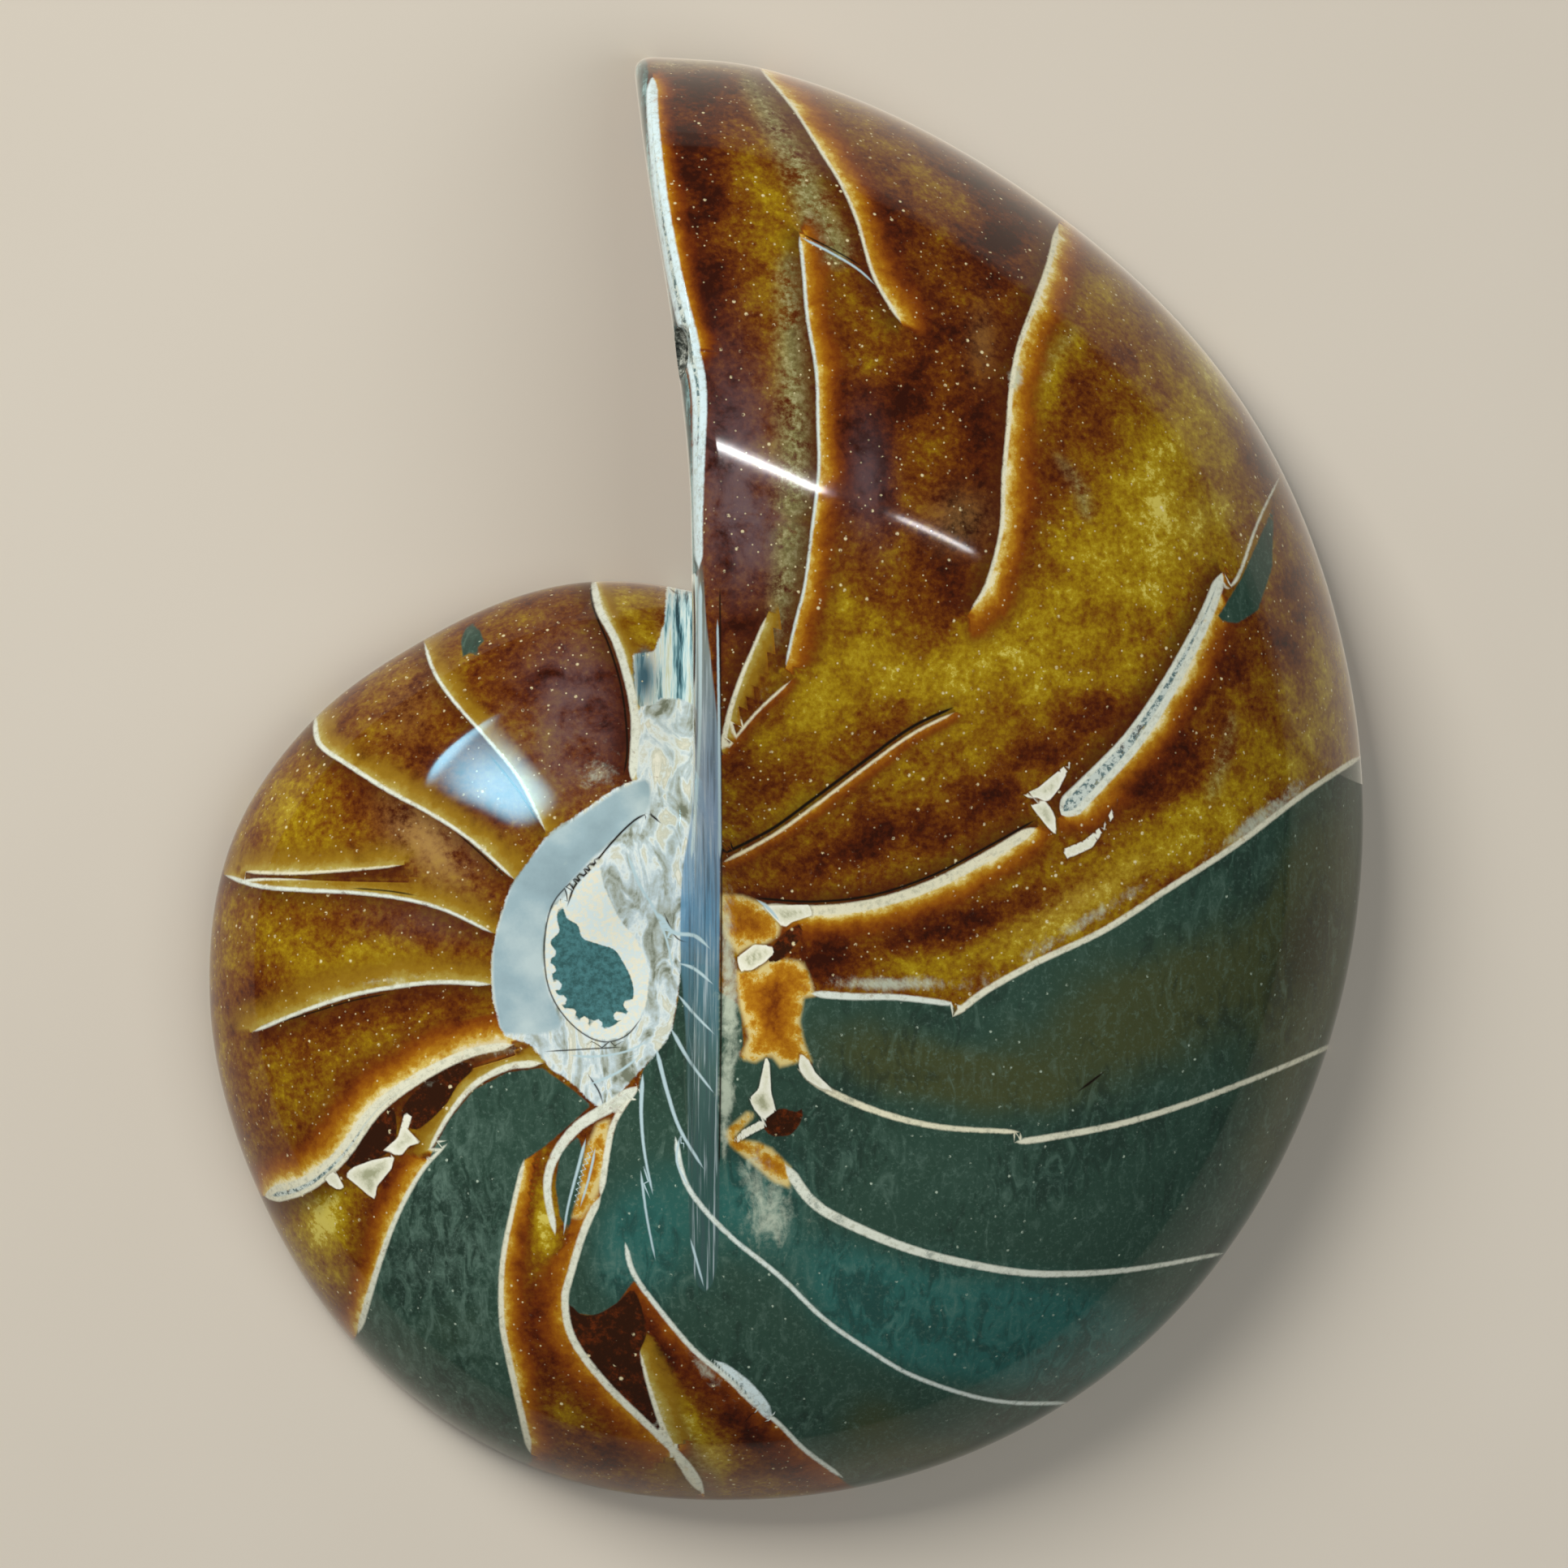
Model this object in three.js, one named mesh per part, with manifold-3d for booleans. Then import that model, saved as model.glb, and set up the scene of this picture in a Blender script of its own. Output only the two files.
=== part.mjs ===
// Half of a polished fossil nautilus, lying on its flat sawn face.
//
// Millimetres, +Z up. The coiling axis is the Z axis and the sawn face is the plane z = 0, so the
// origin is where the axis leaves the sawn face. +Y points at the tip of the last whorl. Whorl
// angles run clockwise from +Y and back along the coil: 0 at the mouth, 90 at +X, 180 at the foot,
// 270 at -X, and 360 where the older whorl goes in under the mouth.
//
// The stone is one solid. Its outer edge is a logarithmic spiral and its flank is a dome that thins
// with the spiral. A ground mouth face ends the last whorl. Over the older whorl that face is a
// cliff with rounded edges, and the cliff dies out below the axis, where both sides are one flank.

import * as THREE from 'three';
import { mergeVertices } from 'three/addons/utils/BufferGeometryUtils.js';
import Module from 'manifold-3d';

// The coil
const MOUTH_RADIUS = 74.4; // outer edge from the axis at the mouth
const SPIRAL_RATE = 0.1497; // shrinkage for each radian back along the coil
const HALF_WIDTH = 33; // sawn face to the fullest part of the flank, at the mouth
const FLANK_POWER = 3.4; // higher is flatter across the flank and tighter round the outer edge

// Grinding left the outer edge slightly off the spiral: whorl angle, share of the radius
const GROUND_EDGE = [
  [-8, -0.022], [0, -0.013], [7, 0], [28, 0.001], [48, 0.009], [70, -0.003], [99, -0.009],
  [130, 0.001], [170, -0.001], [191, 0.011], [214, 0], [238, -0.016], [262, 0.002], [283, 0.021],
  [302, 0.004], [322, -0.018], [350, 0.012], [380, 0.016],
];

// The umbilicus, a shallow dimple at the axis
const DIMPLE_RADIUS = 9;
const BLEND_START = 4; // inside this radius each side of the cliff has one height
const BLEND_END = 22; // outside this one the height follows the spiral
const MOUTH_SIDE = { angle: 75, dimple: 0.38 }; // whorl angle the height settles to, share lost
const OLDER_SIDE = { angle: 225, dimple: 0.12 };

// The line of the mouth face seen from above: height on +Y, distance right of the axis
const MOUTH_LINE = [[-24, 3.3], [34, 3.3], [48, 2], [62, -0.3], [76, -2.2]];
const TIP_ROUND = 1.8; // corner radius at the tip
const CLIFF_FOOT_Y = -23.5; // where the cliff has died out

// The cliff's rounded top edge and the hollow curve along its foot
const EDGE_WIDTH = 2;
const EDGE_WIDTH_AT_TIP = 1.3;
const EDGE_DEPTH = 4.5;
const HOLLOW_WIDTH = 1.4;
const HOLLOW_DEPTH = 3;

// Chips broken out of the edges: centre and half sizes
const CHIPS = [
  { x: 2.2, y: 47.3, z: 27, size: [1.1, 2.2, 2.6] },
  { x: -28.7, y: -28, z: 9.5, size: [1.1, 1.7, 1.3] },
];

// Mesh fineness
const ROWS_ABOVE = 26; // rows of the flank from the tip to the older whorl
const ROWS_BESIDE = 30; // and from there to the foot of the cliff
const EDGE_COLUMNS = 5;
const FLANK_COLUMNS = 20;
const CHIP_SEGMENTS = [12, 8];
const SMALLEST_STEP = 0.05; // a lower cliff than this is left out

const { clamp, lerp, smoothstep, degToRad, radToDeg } = THREE.MathUtils;

// Value at a position on a smooth curve through [position, value] pairs
function along(pairs, at) {
  let i = 0;
  while (i < pairs.length - 2 && at > pairs[i + 1][0]) i += 1;
  const slope = (k) => {
    const [before, after] = [pairs[Math.max(k - 1, 0)], pairs[Math.min(k + 1, pairs.length - 1)]];
    return (after[1] - before[1]) / (after[0] - before[0]);
  };
  const [[x0, y0], [x1, y1]] = [pairs[i], pairs[i + 1]];
  const length = x1 - x0;
  const t = clamp((at - x0) / length, 0, 1);
  const bend = t * (1 - t) ** 2 * slope(i) - t * t * (1 - t) * slope(i + 1);
  return lerp(y0, y1, t * t * (3 - 2 * t)) + length * bend;
}

function edgeRadius(angle) {
  return MOUTH_RADIUS * Math.exp(-SPIRAL_RATE * degToRad(angle)) * (1 + along(GROUND_EDGE, angle));
}

function edgePoint(angle) {
  const turn = degToRad(angle);
  return new THREE.Vector2(Math.sin(turn), Math.cos(turn)).multiplyScalar(edgeRadius(angle));
}

// The whorl angle at which the outer edge meets the line of the mouth face
function meeting(low, high) {
  const middle = (low + high) / 2;
  if (high - low < 1e-9) return middle;
  const { x, y } = edgePoint(middle);
  return x < along(MOUTH_LINE, y) ? meeting(middle, high) : meeting(low, middle);
}

const TIP_ANGLE = meeting(-8, 8) + radToDeg(TIP_ROUND / MOUTH_RADIUS);
const OLD_TOP_ANGLE = meeting(350, 380);
const FOOT_ANGLE = 176; // the line from the foot of the cliff to here joins the two sides
const TIP_Y = edgePoint(TIP_ANGLE).y;
const OLD_TOP_Y = edgePoint(OLD_TOP_ANGLE).y;

// Distance of the mouth face right of the axis, with the rounded corner at the tip
function mouthX(y) {
  const past = clamp(y - (TIP_Y - TIP_ROUND), 0, TIP_ROUND);
  return along(MOUTH_LINE, y) + TIP_ROUND - Math.sqrt(TIP_ROUND ** 2 - past ** 2);
}

// Height of the dome on one side of the cliff, before the cliff's edges are rounded
function domeHeight(x, y, side) {
  const radius = Math.hypot(x, y);
  let angle = radToDeg(Math.atan2(x, y));
  if (angle < (side === OLDER_SIDE ? 90 : -90)) angle += 360;
  const settled = lerp(side.angle, angle, smoothstep(radius, BLEND_START, BLEND_END));
  const dimple = 1 - side.dimple * Math.exp(-((radius / DIMPLE_RADIUS) ** 2));
  const rounding = Math.sqrt(1 - clamp(radius / edgeRadius(angle), 0, 1) ** FLANK_POWER);
  return HALF_WIDTH * Math.exp(-SPIRAL_RATE * degToRad(settled)) * dimple * rounding;
}

// A quarter circle that falls from 1 to 0 over a width
function quarterRound(distance, width) {
  return 1 - Math.sqrt(1 - (1 - clamp(distance / width, 0, 1)) ** 2);
}

function flankHeight(x, y, side) {
  const dome = domeHeight(x, y, side);
  if (y < CLIFF_FOOT_Y || y > TIP_Y) return dome;
  const older = y < OLD_TOP_Y ? domeHeight(x, y, OLDER_SIDE) : 0;
  const halfStep = Math.max(domeHeight(x, y, MOUTH_SIDE) - older, 0) / 2;
  const away = Math.abs(x - mouthX(y));
  if (side === OLDER_SIDE) {
    return dome + Math.min(HOLLOW_DEPTH, halfStep) * quarterRound(away, HOLLOW_WIDTH);
  }
  const width = lerp(EDGE_WIDTH, EDGE_WIDTH_AT_TIP, smoothstep(y, OLD_TOP_Y, TIP_Y));
  return dome - Math.min(EDGE_DEPTH, halfStep) * quarterRound(away, width);
}

// One row of flank points, closely spaced at the mouth face and then out to the outer edge
function flankRow(start, end, side) {
  const length = start.distanceTo(end);
  const roundedWidth = side === OLDER_SIDE ? HOLLOW_WIDTH : EDGE_WIDTH;
  const rounded = Math.min(roundedWidth / Math.max(length, 1e-6), 0.4);
  const shares = [];
  for (let j = 0; j < EDGE_COLUMNS; j += 1) {
    shares.push(rounded * (1 - Math.cos((Math.PI / 2) * (j / EDGE_COLUMNS))));
  }
  for (let j = 0; j <= FLANK_COLUMNS; j += 1) {
    shares.push(1 - (1 - rounded) * (1 - j / FLANK_COLUMNS) ** 1.6);
  }
  return shares.map((share) => {
    const { x, y } = start.clone().lerp(end, share);
    return new THREE.Vector3(x, y, share === 1 || length === 0 ? 0 : flankHeight(x, y, side));
  });
}

// Rows from the tip past the older whorl to the foot of the cliff
function mouthSideRows() {
  const count = ROWS_ABOVE + ROWS_BESIDE;
  return Array.from({ length: count + 1 }, (_, i) => {
    const end = edgePoint(lerp(TIP_ANGLE, FOOT_ANGLE, i / count));
    const y = i < ROWS_ABOVE
      ? lerp(TIP_Y, OLD_TOP_Y, (i / ROWS_ABOVE) ** 1.5)
      : lerp(OLD_TOP_Y, CLIFF_FOOT_Y, (i - ROWS_ABOVE) / ROWS_BESIDE);
    return flankRow(i === 0 ? end : new THREE.Vector2(mouthX(y), y), end, MOUTH_SIDE);
  });
}

// Rows from the top of the older whorl round its outside to the foot of the cliff
function olderSideRows(lastRow) {
  const rows = Array.from({ length: ROWS_BESIDE }, (_, i) => {
    const end = edgePoint(lerp(OLD_TOP_ANGLE, FOOT_ANGLE, i / ROWS_BESIDE));
    const y = lerp(OLD_TOP_Y, CLIFF_FOOT_Y, i / ROWS_BESIDE);
    return flankRow(i === 0 ? end : new THREE.Vector2(mouthX(y), y), end, OLDER_SIDE);
  });
  return [...rows, lastRow];
}

// Triangles between two lists of points
function strip(one, other) {
  return one.slice(1).flatMap((point, j) => [
    [one[j], other[j], other[j + 1]],
    [one[j], other[j + 1], point],
  ]);
}

function strips(rows) {
  return rows.slice(1).flatMap((row, i) => strip(rows[i], row));
}

// Closed geometry from triangles, with shared corners merged and empty triangles left out
function closedGeometry(triangles) {
  const loose = new THREE.BufferGeometry();
  const corners = triangles.flat().flatMap((p) => p.toArray());
  loose.setAttribute('position', new THREE.Float32BufferAttribute(corners, 3));
  const merged = mergeVertices(loose, 1e-3);
  const index = [];
  for (let i = 0; i < merged.index.count; i += 3) {
    const [a, b, c] = [0, 1, 2].map((k) => merged.index.getX(i + k));
    if (a !== b && b !== c && c !== a) index.push(a, b, c);
  }
  return merged.setIndex(index);
}

function wholeGeometry() {
  const mouthRows = mouthSideRows();
  const olderRows = olderSideRows(mouthRows.at(-1));
  const faceRows = mouthRows.map((row, i) => {
    if (i < ROWS_ABOVE) return [row[0], row[0].clone().setZ(0)];
    const older = olderRows[i - ROWS_ABOVE];
    if (row[0].z - older[0].z < SMALLEST_STEP) older[0] = row[0];
    return [row[0], older[0]];
  });

  const rim = mouthRows.map((row) => row.at(-1));
  rim.push(...olderRows.slice(0, -1).reverse().map((row) => row.at(-1)));
  rim.push(...faceRows.slice(1, ROWS_ABOVE).reverse().map((row) => row.at(-1)));
  const sawn = THREE.ShapeUtils.triangulateShape(rim.map((p) => new THREE.Vector2(p.x, p.y)), []);
  const facingDown = ([a, b, c]) => {
    const turn = (rim[b].x - rim[a].x) * (rim[c].y - rim[a].y)
      - (rim[c].x - rim[a].x) * (rim[b].y - rim[a].y);
    return turn < 0 ? [rim[a], rim[b], rim[c]] : [rim[a], rim[c], rim[b]];
  };

  return closedGeometry([
    ...strips(mouthRows),
    ...strips([...olderRows].reverse()),
    ...strips([...faceRows].reverse()),
    ...sawn.map(facingDown),
  ]);
}

const wasm = await Module();
wasm.setup();

function toSolid(geometry) {
  return new wasm.Manifold(new wasm.Mesh({
    numProp: 3,
    vertProperties: new Float32Array(geometry.getAttribute('position').array),
    triVerts: new Uint32Array(geometry.index.array),
  }));
}

function chipSolid({ x, y, z, size }) {
  const chip = new THREE.SphereGeometry(1, ...CHIP_SEGMENTS).scale(...size).translate(x, y, z);
  chip.deleteAttribute('normal');
  chip.deleteAttribute('uv');
  return toSolid(mergeVertices(chip, 1e-3));
}

function fossilHalf() {
  const solid = CHIPS.reduce((left, chip) => left.subtract(chipSolid(chip)), toSolid(wholeGeometry()));
  const { vertProperties, triVerts } = solid.getMesh();
  const geometry = new THREE.BufferGeometry();
  geometry.setAttribute('position', new THREE.BufferAttribute(new Float32Array(vertProperties), 3));
  geometry.setIndex([...triVerts]);
  geometry.computeVertexNormals();
  const stone = new THREE.MeshStandardMaterial({ color: 0x7a5a22, roughness: 0.12, metalness: 0 });
  const mesh = new THREE.Mesh(geometry, stone);
  mesh.name = 'fossil_half';
  return mesh;
}

const part = new THREE.Group();
part.add(fossilHalf());

export default part;
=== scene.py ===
"""Half of a polished fossil nautilus, lying on its flat sawn face under soft studio light."""

import math

import bmesh
import bpy
import numpy as np
from mathutils import Matrix, Vector


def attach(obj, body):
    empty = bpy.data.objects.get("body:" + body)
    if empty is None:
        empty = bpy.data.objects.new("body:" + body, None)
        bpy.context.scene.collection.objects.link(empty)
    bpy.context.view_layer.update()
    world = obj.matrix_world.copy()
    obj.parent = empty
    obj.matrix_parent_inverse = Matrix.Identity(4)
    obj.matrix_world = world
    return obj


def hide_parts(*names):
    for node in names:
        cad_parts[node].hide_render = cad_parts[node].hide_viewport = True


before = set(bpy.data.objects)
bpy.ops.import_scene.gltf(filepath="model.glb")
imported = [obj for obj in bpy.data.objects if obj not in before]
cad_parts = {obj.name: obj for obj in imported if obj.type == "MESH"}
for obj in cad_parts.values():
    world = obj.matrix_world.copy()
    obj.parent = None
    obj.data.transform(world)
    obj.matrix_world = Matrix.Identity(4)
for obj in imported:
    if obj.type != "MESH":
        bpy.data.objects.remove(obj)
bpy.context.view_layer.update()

MM = 0.001

# The coil, in millimetres and degrees, with the same values as the solid
MOUTH_RADIUS = 74.4
SPIRAL_RATE = 0.1497
HALF_WIDTH = 33.0
FLANK_POWER = 3.4
GROUND_EDGE = [
    (-8, -0.022), (0, -0.013), (7, 0), (28, 0.001), (48, 0.009), (70, -0.003), (99, -0.009),
    (130, 0.001), (170, -0.001), (191, 0.011), (214, 0), (238, -0.016), (262, 0.002), (283, 0.021),
    (302, 0.004), (322, -0.018), (350, 0.012), (380, 0.016),
]
DIMPLE_RADIUS = 9.0
BLEND_START = 4.0
BLEND_END = 22.0
MOUTH_SIDE = {"angle": 75.0, "dimple": 0.38, "lowest": -90.0}
OLDER_SIDE = {"angle": 225.0, "dimple": 0.12, "lowest": 90.0}
MOUTH_LINE = [(-24, 3.3), (34, 3.3), (48, 2), (62, -0.3), (76, -2.2)]
TIP_ROUND = 1.8
CLIFF_FOOT_Y = -23.5
EDGE_WIDTH = 2.0
EDGE_WIDTH_AT_TIP = 1.3
EDGE_DEPTH = 4.5
HOLLOW_WIDTH = 1.4
HOLLOW_DEPTH = 3.0
FOOT_ANGLE = 176.0
CHIPS = [
    ((2.2, 47.3, 27.0), (1.1, 2.2, 2.6)),
    ((-28.7, -28.0, 9.5), (1.1, 1.7, 1.3)),
]
INSIDE_BOX = 0.9995  # the fine skin is this much smaller, to stay inside the solid's box
NO_SHELL_BELOW = 9.0  # added depth that keeps the pale shell off the foot of the mouth face in the open

# Fineness of the skin
ROWS_ABOVE = 150
ROWS_BESIDE = 235
COLUMNS = 132
EDGE_COLUMNS = 9
FACE_LEVELS = 6
MOST_ROUNDED = 0.4  # share of a row that its rounded end may take up
TIP_CROWDING = 1.5  # above 1, rows stand closer at the tip
EDGE_CROWDING = 1.35  # above 1, points stand closer at the outer edge
SHARP_FOLD = 50  # degrees
WELD = 2e-6  # metres

# The view: the camera stands over this point, and its frame is this wide at the sawn face
EYE = (10.73, 12.79, 600.0)
FRAME_WIDTH = 131.0
STEPS = 1932  # places on the flank are given as the eye sees them, in this many steps across
SENSOR_WIDTH = 36

# Sizes in the markings, in those steps
TAPER = 16  # length over which a line runs out to a point
CLOSED_END = 1.5  # how far below nothing the half width falls at the point, so that the line closes
SHADE_REACH = 55  # how far the stone is darker beside a wall
VEIL_EDGE = (-20, 10)  # a veil fades from this far inside its edge to this far outside
TOOTH_RADIUS = 6  # crystals round the hollow


# Shape of the coil

def along(pairs, at):
    """Value at each position on a smooth curve through (position, value) pairs."""
    places, values = np.array(pairs, float).T
    at = np.asarray(at, float)
    last = len(places) - 1
    before = np.maximum(np.arange(last + 1) - 1, 0)
    after = np.minimum(np.arange(last + 1) + 1, last)
    slopes = (values[after] - values[before]) / (places[after] - places[before])
    i = np.clip(np.searchsorted(places, at, side="left") - 1, 0, last - 1)
    length = places[i + 1] - places[i]
    t = np.clip((at - places[i]) / length, 0, 1)
    bend = t * (1 - t) ** 2 * slopes[i] - t * t * (1 - t) * slopes[i + 1]
    ease = t * t * (3 - 2 * t)
    return values[i] + (values[i + 1] - values[i]) * ease + length * bend


def smoothstep(value, low, high):
    t = np.clip((value - low) / (high - low), 0, 1)
    return t * t * (3 - 2 * t)


def edge_radius(angle):
    shrunk = np.exp(-SPIRAL_RATE * np.radians(angle))
    return MOUTH_RADIUS * shrunk * (1 + along(GROUND_EDGE, angle))


def edge_point(angle):
    turn = np.radians(angle)
    return np.stack([np.sin(turn), np.cos(turn)], axis=-1) * edge_radius(angle)[..., None]


def meeting(low, high):
    """Whorl angle at which the outer edge meets the line of the mouth face."""
    for _ in range(50):
        middle = (low + high) / 2
        x, y = edge_point(np.array(middle))
        if x < along(MOUTH_LINE, y):
            low = middle
        else:
            high = middle
    return middle


TIP_ANGLE = meeting(-8, 8) + math.degrees(TIP_ROUND / MOUTH_RADIUS)
OLD_TOP_ANGLE = meeting(350, 380)
TIP_Y = float(edge_point(np.array(TIP_ANGLE))[1])
OLD_TOP_Y = float(edge_point(np.array(OLD_TOP_ANGLE))[1])


def mouth_x(y):
    """Distance of the mouth face right of the axis, with the rounded corner at the tip."""
    past = np.clip(y - (TIP_Y - TIP_ROUND), 0, TIP_ROUND)
    return along(MOUTH_LINE, y) + TIP_ROUND - np.sqrt(TIP_ROUND**2 - past**2)


def dome_height(x, y, side):
    radius = np.hypot(x, y)
    angle = np.degrees(np.arctan2(x, y))
    angle = np.where(angle < side["lowest"], angle + 360, angle)
    blend = smoothstep(radius, BLEND_START, BLEND_END)
    settled = side["angle"] + (angle - side["angle"]) * blend
    dimple = 1 - side["dimple"] * np.exp(-((radius / DIMPLE_RADIUS) ** 2))
    rounding = np.sqrt(1 - np.clip(radius / edge_radius(angle), 0, 1) ** FLANK_POWER)
    return HALF_WIDTH * np.exp(-SPIRAL_RATE * np.radians(settled)) * dimple * rounding


def quarter_round(distance, width):
    return 1 - np.sqrt(1 - (1 - np.clip(distance / width, 0, 1)) ** 2)


def flank_height(x, y, side):
    """Height of the finished flank on one side of the cliff."""
    dome = dome_height(x, y, side)
    older = np.where(y < OLD_TOP_Y, dome_height(x, y, OLDER_SIDE), 0)
    half_step = np.maximum(dome_height(x, y, MOUTH_SIDE) - older, 0) / 2
    away = np.abs(x - mouth_x(np.minimum(y, TIP_Y)))
    beside = (y >= CLIFF_FOOT_Y) & (y <= TIP_Y)
    if side is OLDER_SIDE:
        rise = np.minimum(HOLLOW_DEPTH, half_step) * quarter_round(away, HOLLOW_WIDTH)
        return dome + np.where(beside, rise, 0)
    width = EDGE_WIDTH + (EDGE_WIDTH_AT_TIP - EDGE_WIDTH) * smoothstep(y, OLD_TOP_Y, TIP_Y)
    fall = np.minimum(EDGE_DEPTH, half_step) * quarter_round(away, width)
    return dome - np.where(beside, fall, 0)


def chipped(points):
    """Points with the small chips broken out, and how deep inside a chip each one was."""
    points = points.copy()
    broken = np.full(points.shape[:-1], -1.0)
    for middle, size in CHIPS:
        x, y, z = np.moveaxis((points - middle) / size, -1, 0)
        broken = np.maximum(broken, 1 - np.sqrt(x * x + y * y + z * z))
        floor = middle[2] - size[2] * np.sqrt(np.clip(1 - x * x - y * y, 0, 1))
        within = (x * x + y * y < 1) & (points[..., 2] > floor) & (z < 1)
        points[..., 2] = np.where(within, floor, points[..., 2])
    return points, broken


def flank_rows(starts, ends, side):
    """Rows of points from the mouth face out to the outer edge."""
    length = np.maximum(np.linalg.norm(ends - starts, axis=1), 1e-6)
    rounded_off = HOLLOW_WIDTH if side is OLDER_SIDE else EDGE_WIDTH
    rounded_off = np.minimum(rounded_off / length, MOST_ROUNDED)[:, None]
    near = rounded_off * (1 - np.cos(np.pi / 2 * np.arange(EDGE_COLUMNS) / EDGE_COLUMNS))
    out = 1 - (1 - rounded_off) * (1 - np.arange(COLUMNS + 1) / COLUMNS) ** EDGE_CROWDING
    shares = np.hstack([near, out])[..., None]
    flat = starts[:, None] * (1 - shares) + ends[:, None] * shares
    height = flank_height(flat[..., 0], flat[..., 1], side)
    height[:, -1] = 0
    height[0] = 0
    return np.dstack([flat, height])


def spread(first, last, count, power=1):
    return first + (last - first) * (np.arange(count + 1) / count) ** power


def quads(index):
    corners = [index[:-1, :-1], index[1:, :-1], index[1:, 1:], index[:-1, 1:]]
    return np.stack(corners, axis=-1).reshape(-1, 4)


def skin():
    """Points of the surface, how deep each lies from its edges, and the faces of its three sides."""
    beside = spread(OLD_TOP_Y, CLIFF_FOOT_Y, ROWS_BESIDE)
    above = spread(TIP_Y, OLD_TOP_Y, ROWS_ABOVE, TIP_CROWDING)[:-1]
    heights = np.concatenate([above, beside])
    starts = np.stack([mouth_x(heights), heights], axis=1)
    ends = edge_point(spread(TIP_ANGLE, FOOT_ANGLE, ROWS_ABOVE + ROWS_BESIDE))
    mouth, mouth_broken = chipped(flank_rows(np.vstack([ends[:1], starts[1:]]), ends, MOUTH_SIDE))

    ends = edge_point(spread(OLD_TOP_ANGLE, FOOT_ANGLE, ROWS_BESIDE))
    older = flank_rows(np.vstack([ends[:1], starts[ROWS_ABOVE + 1:]]), ends, OLDER_SIDE)
    older, older_broken = chipped(older)
    older[-1] = mouth[-1]

    tops = mouth[:, 0]
    feet = tops * (1, 1, 0)
    feet[ROWS_ABOVE:] = older[:, 0]
    levels = (np.arange(1, FACE_LEVELS + 1) / FACE_LEVELS)[None, :, None]
    face = tops[:, None] * (1 - levels) + feet[:, None] * levels
    below_edge = tops[:, None, 2] - face[..., 2]
    in_the_open = np.arange(len(tops)) < ROWS_ABOVE
    above_foot = face[..., 2] - feet[:, None, 2] + np.where(in_the_open, NO_SHELL_BELOW, 0)[:, None]

    grids = (mouth, older, face)
    first = 0
    numbered = []
    for grid in grids:
        numbered.append(np.arange(first, first + grid[..., 0].size).reshape(grid.shape[:2]))
        first += grid[..., 0].size
    mouth_at, older_at, face_at = numbered
    points = np.concatenate([grid.reshape(-1, 3) for grid in grids])
    flat = np.zeros(mouth_at.size + older_at.size)
    depths = {
        "broken": np.concatenate([mouth_broken.ravel(), older_broken.ravel(), np.full(face_at.size, -1.0)]),
        "below_edge": np.concatenate([flat, below_edge.ravel()]),
        "above_foot": np.concatenate([flat, above_foot.ravel()]),
    }
    flank = np.concatenate([quads(mouth_at), quads(older_at[::-1])])
    ground = quads(np.hstack([mouth_at[:, :1], face_at])[::-1])
    rim = [*mouth_at[:, -1], *older_at[::-1, -1][1:], *face_at[1:ROWS_ABOVE, -1][::-1]]
    return points, depths, flank, ground, rim


# Markings of the flank, as the eye sees them

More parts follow.
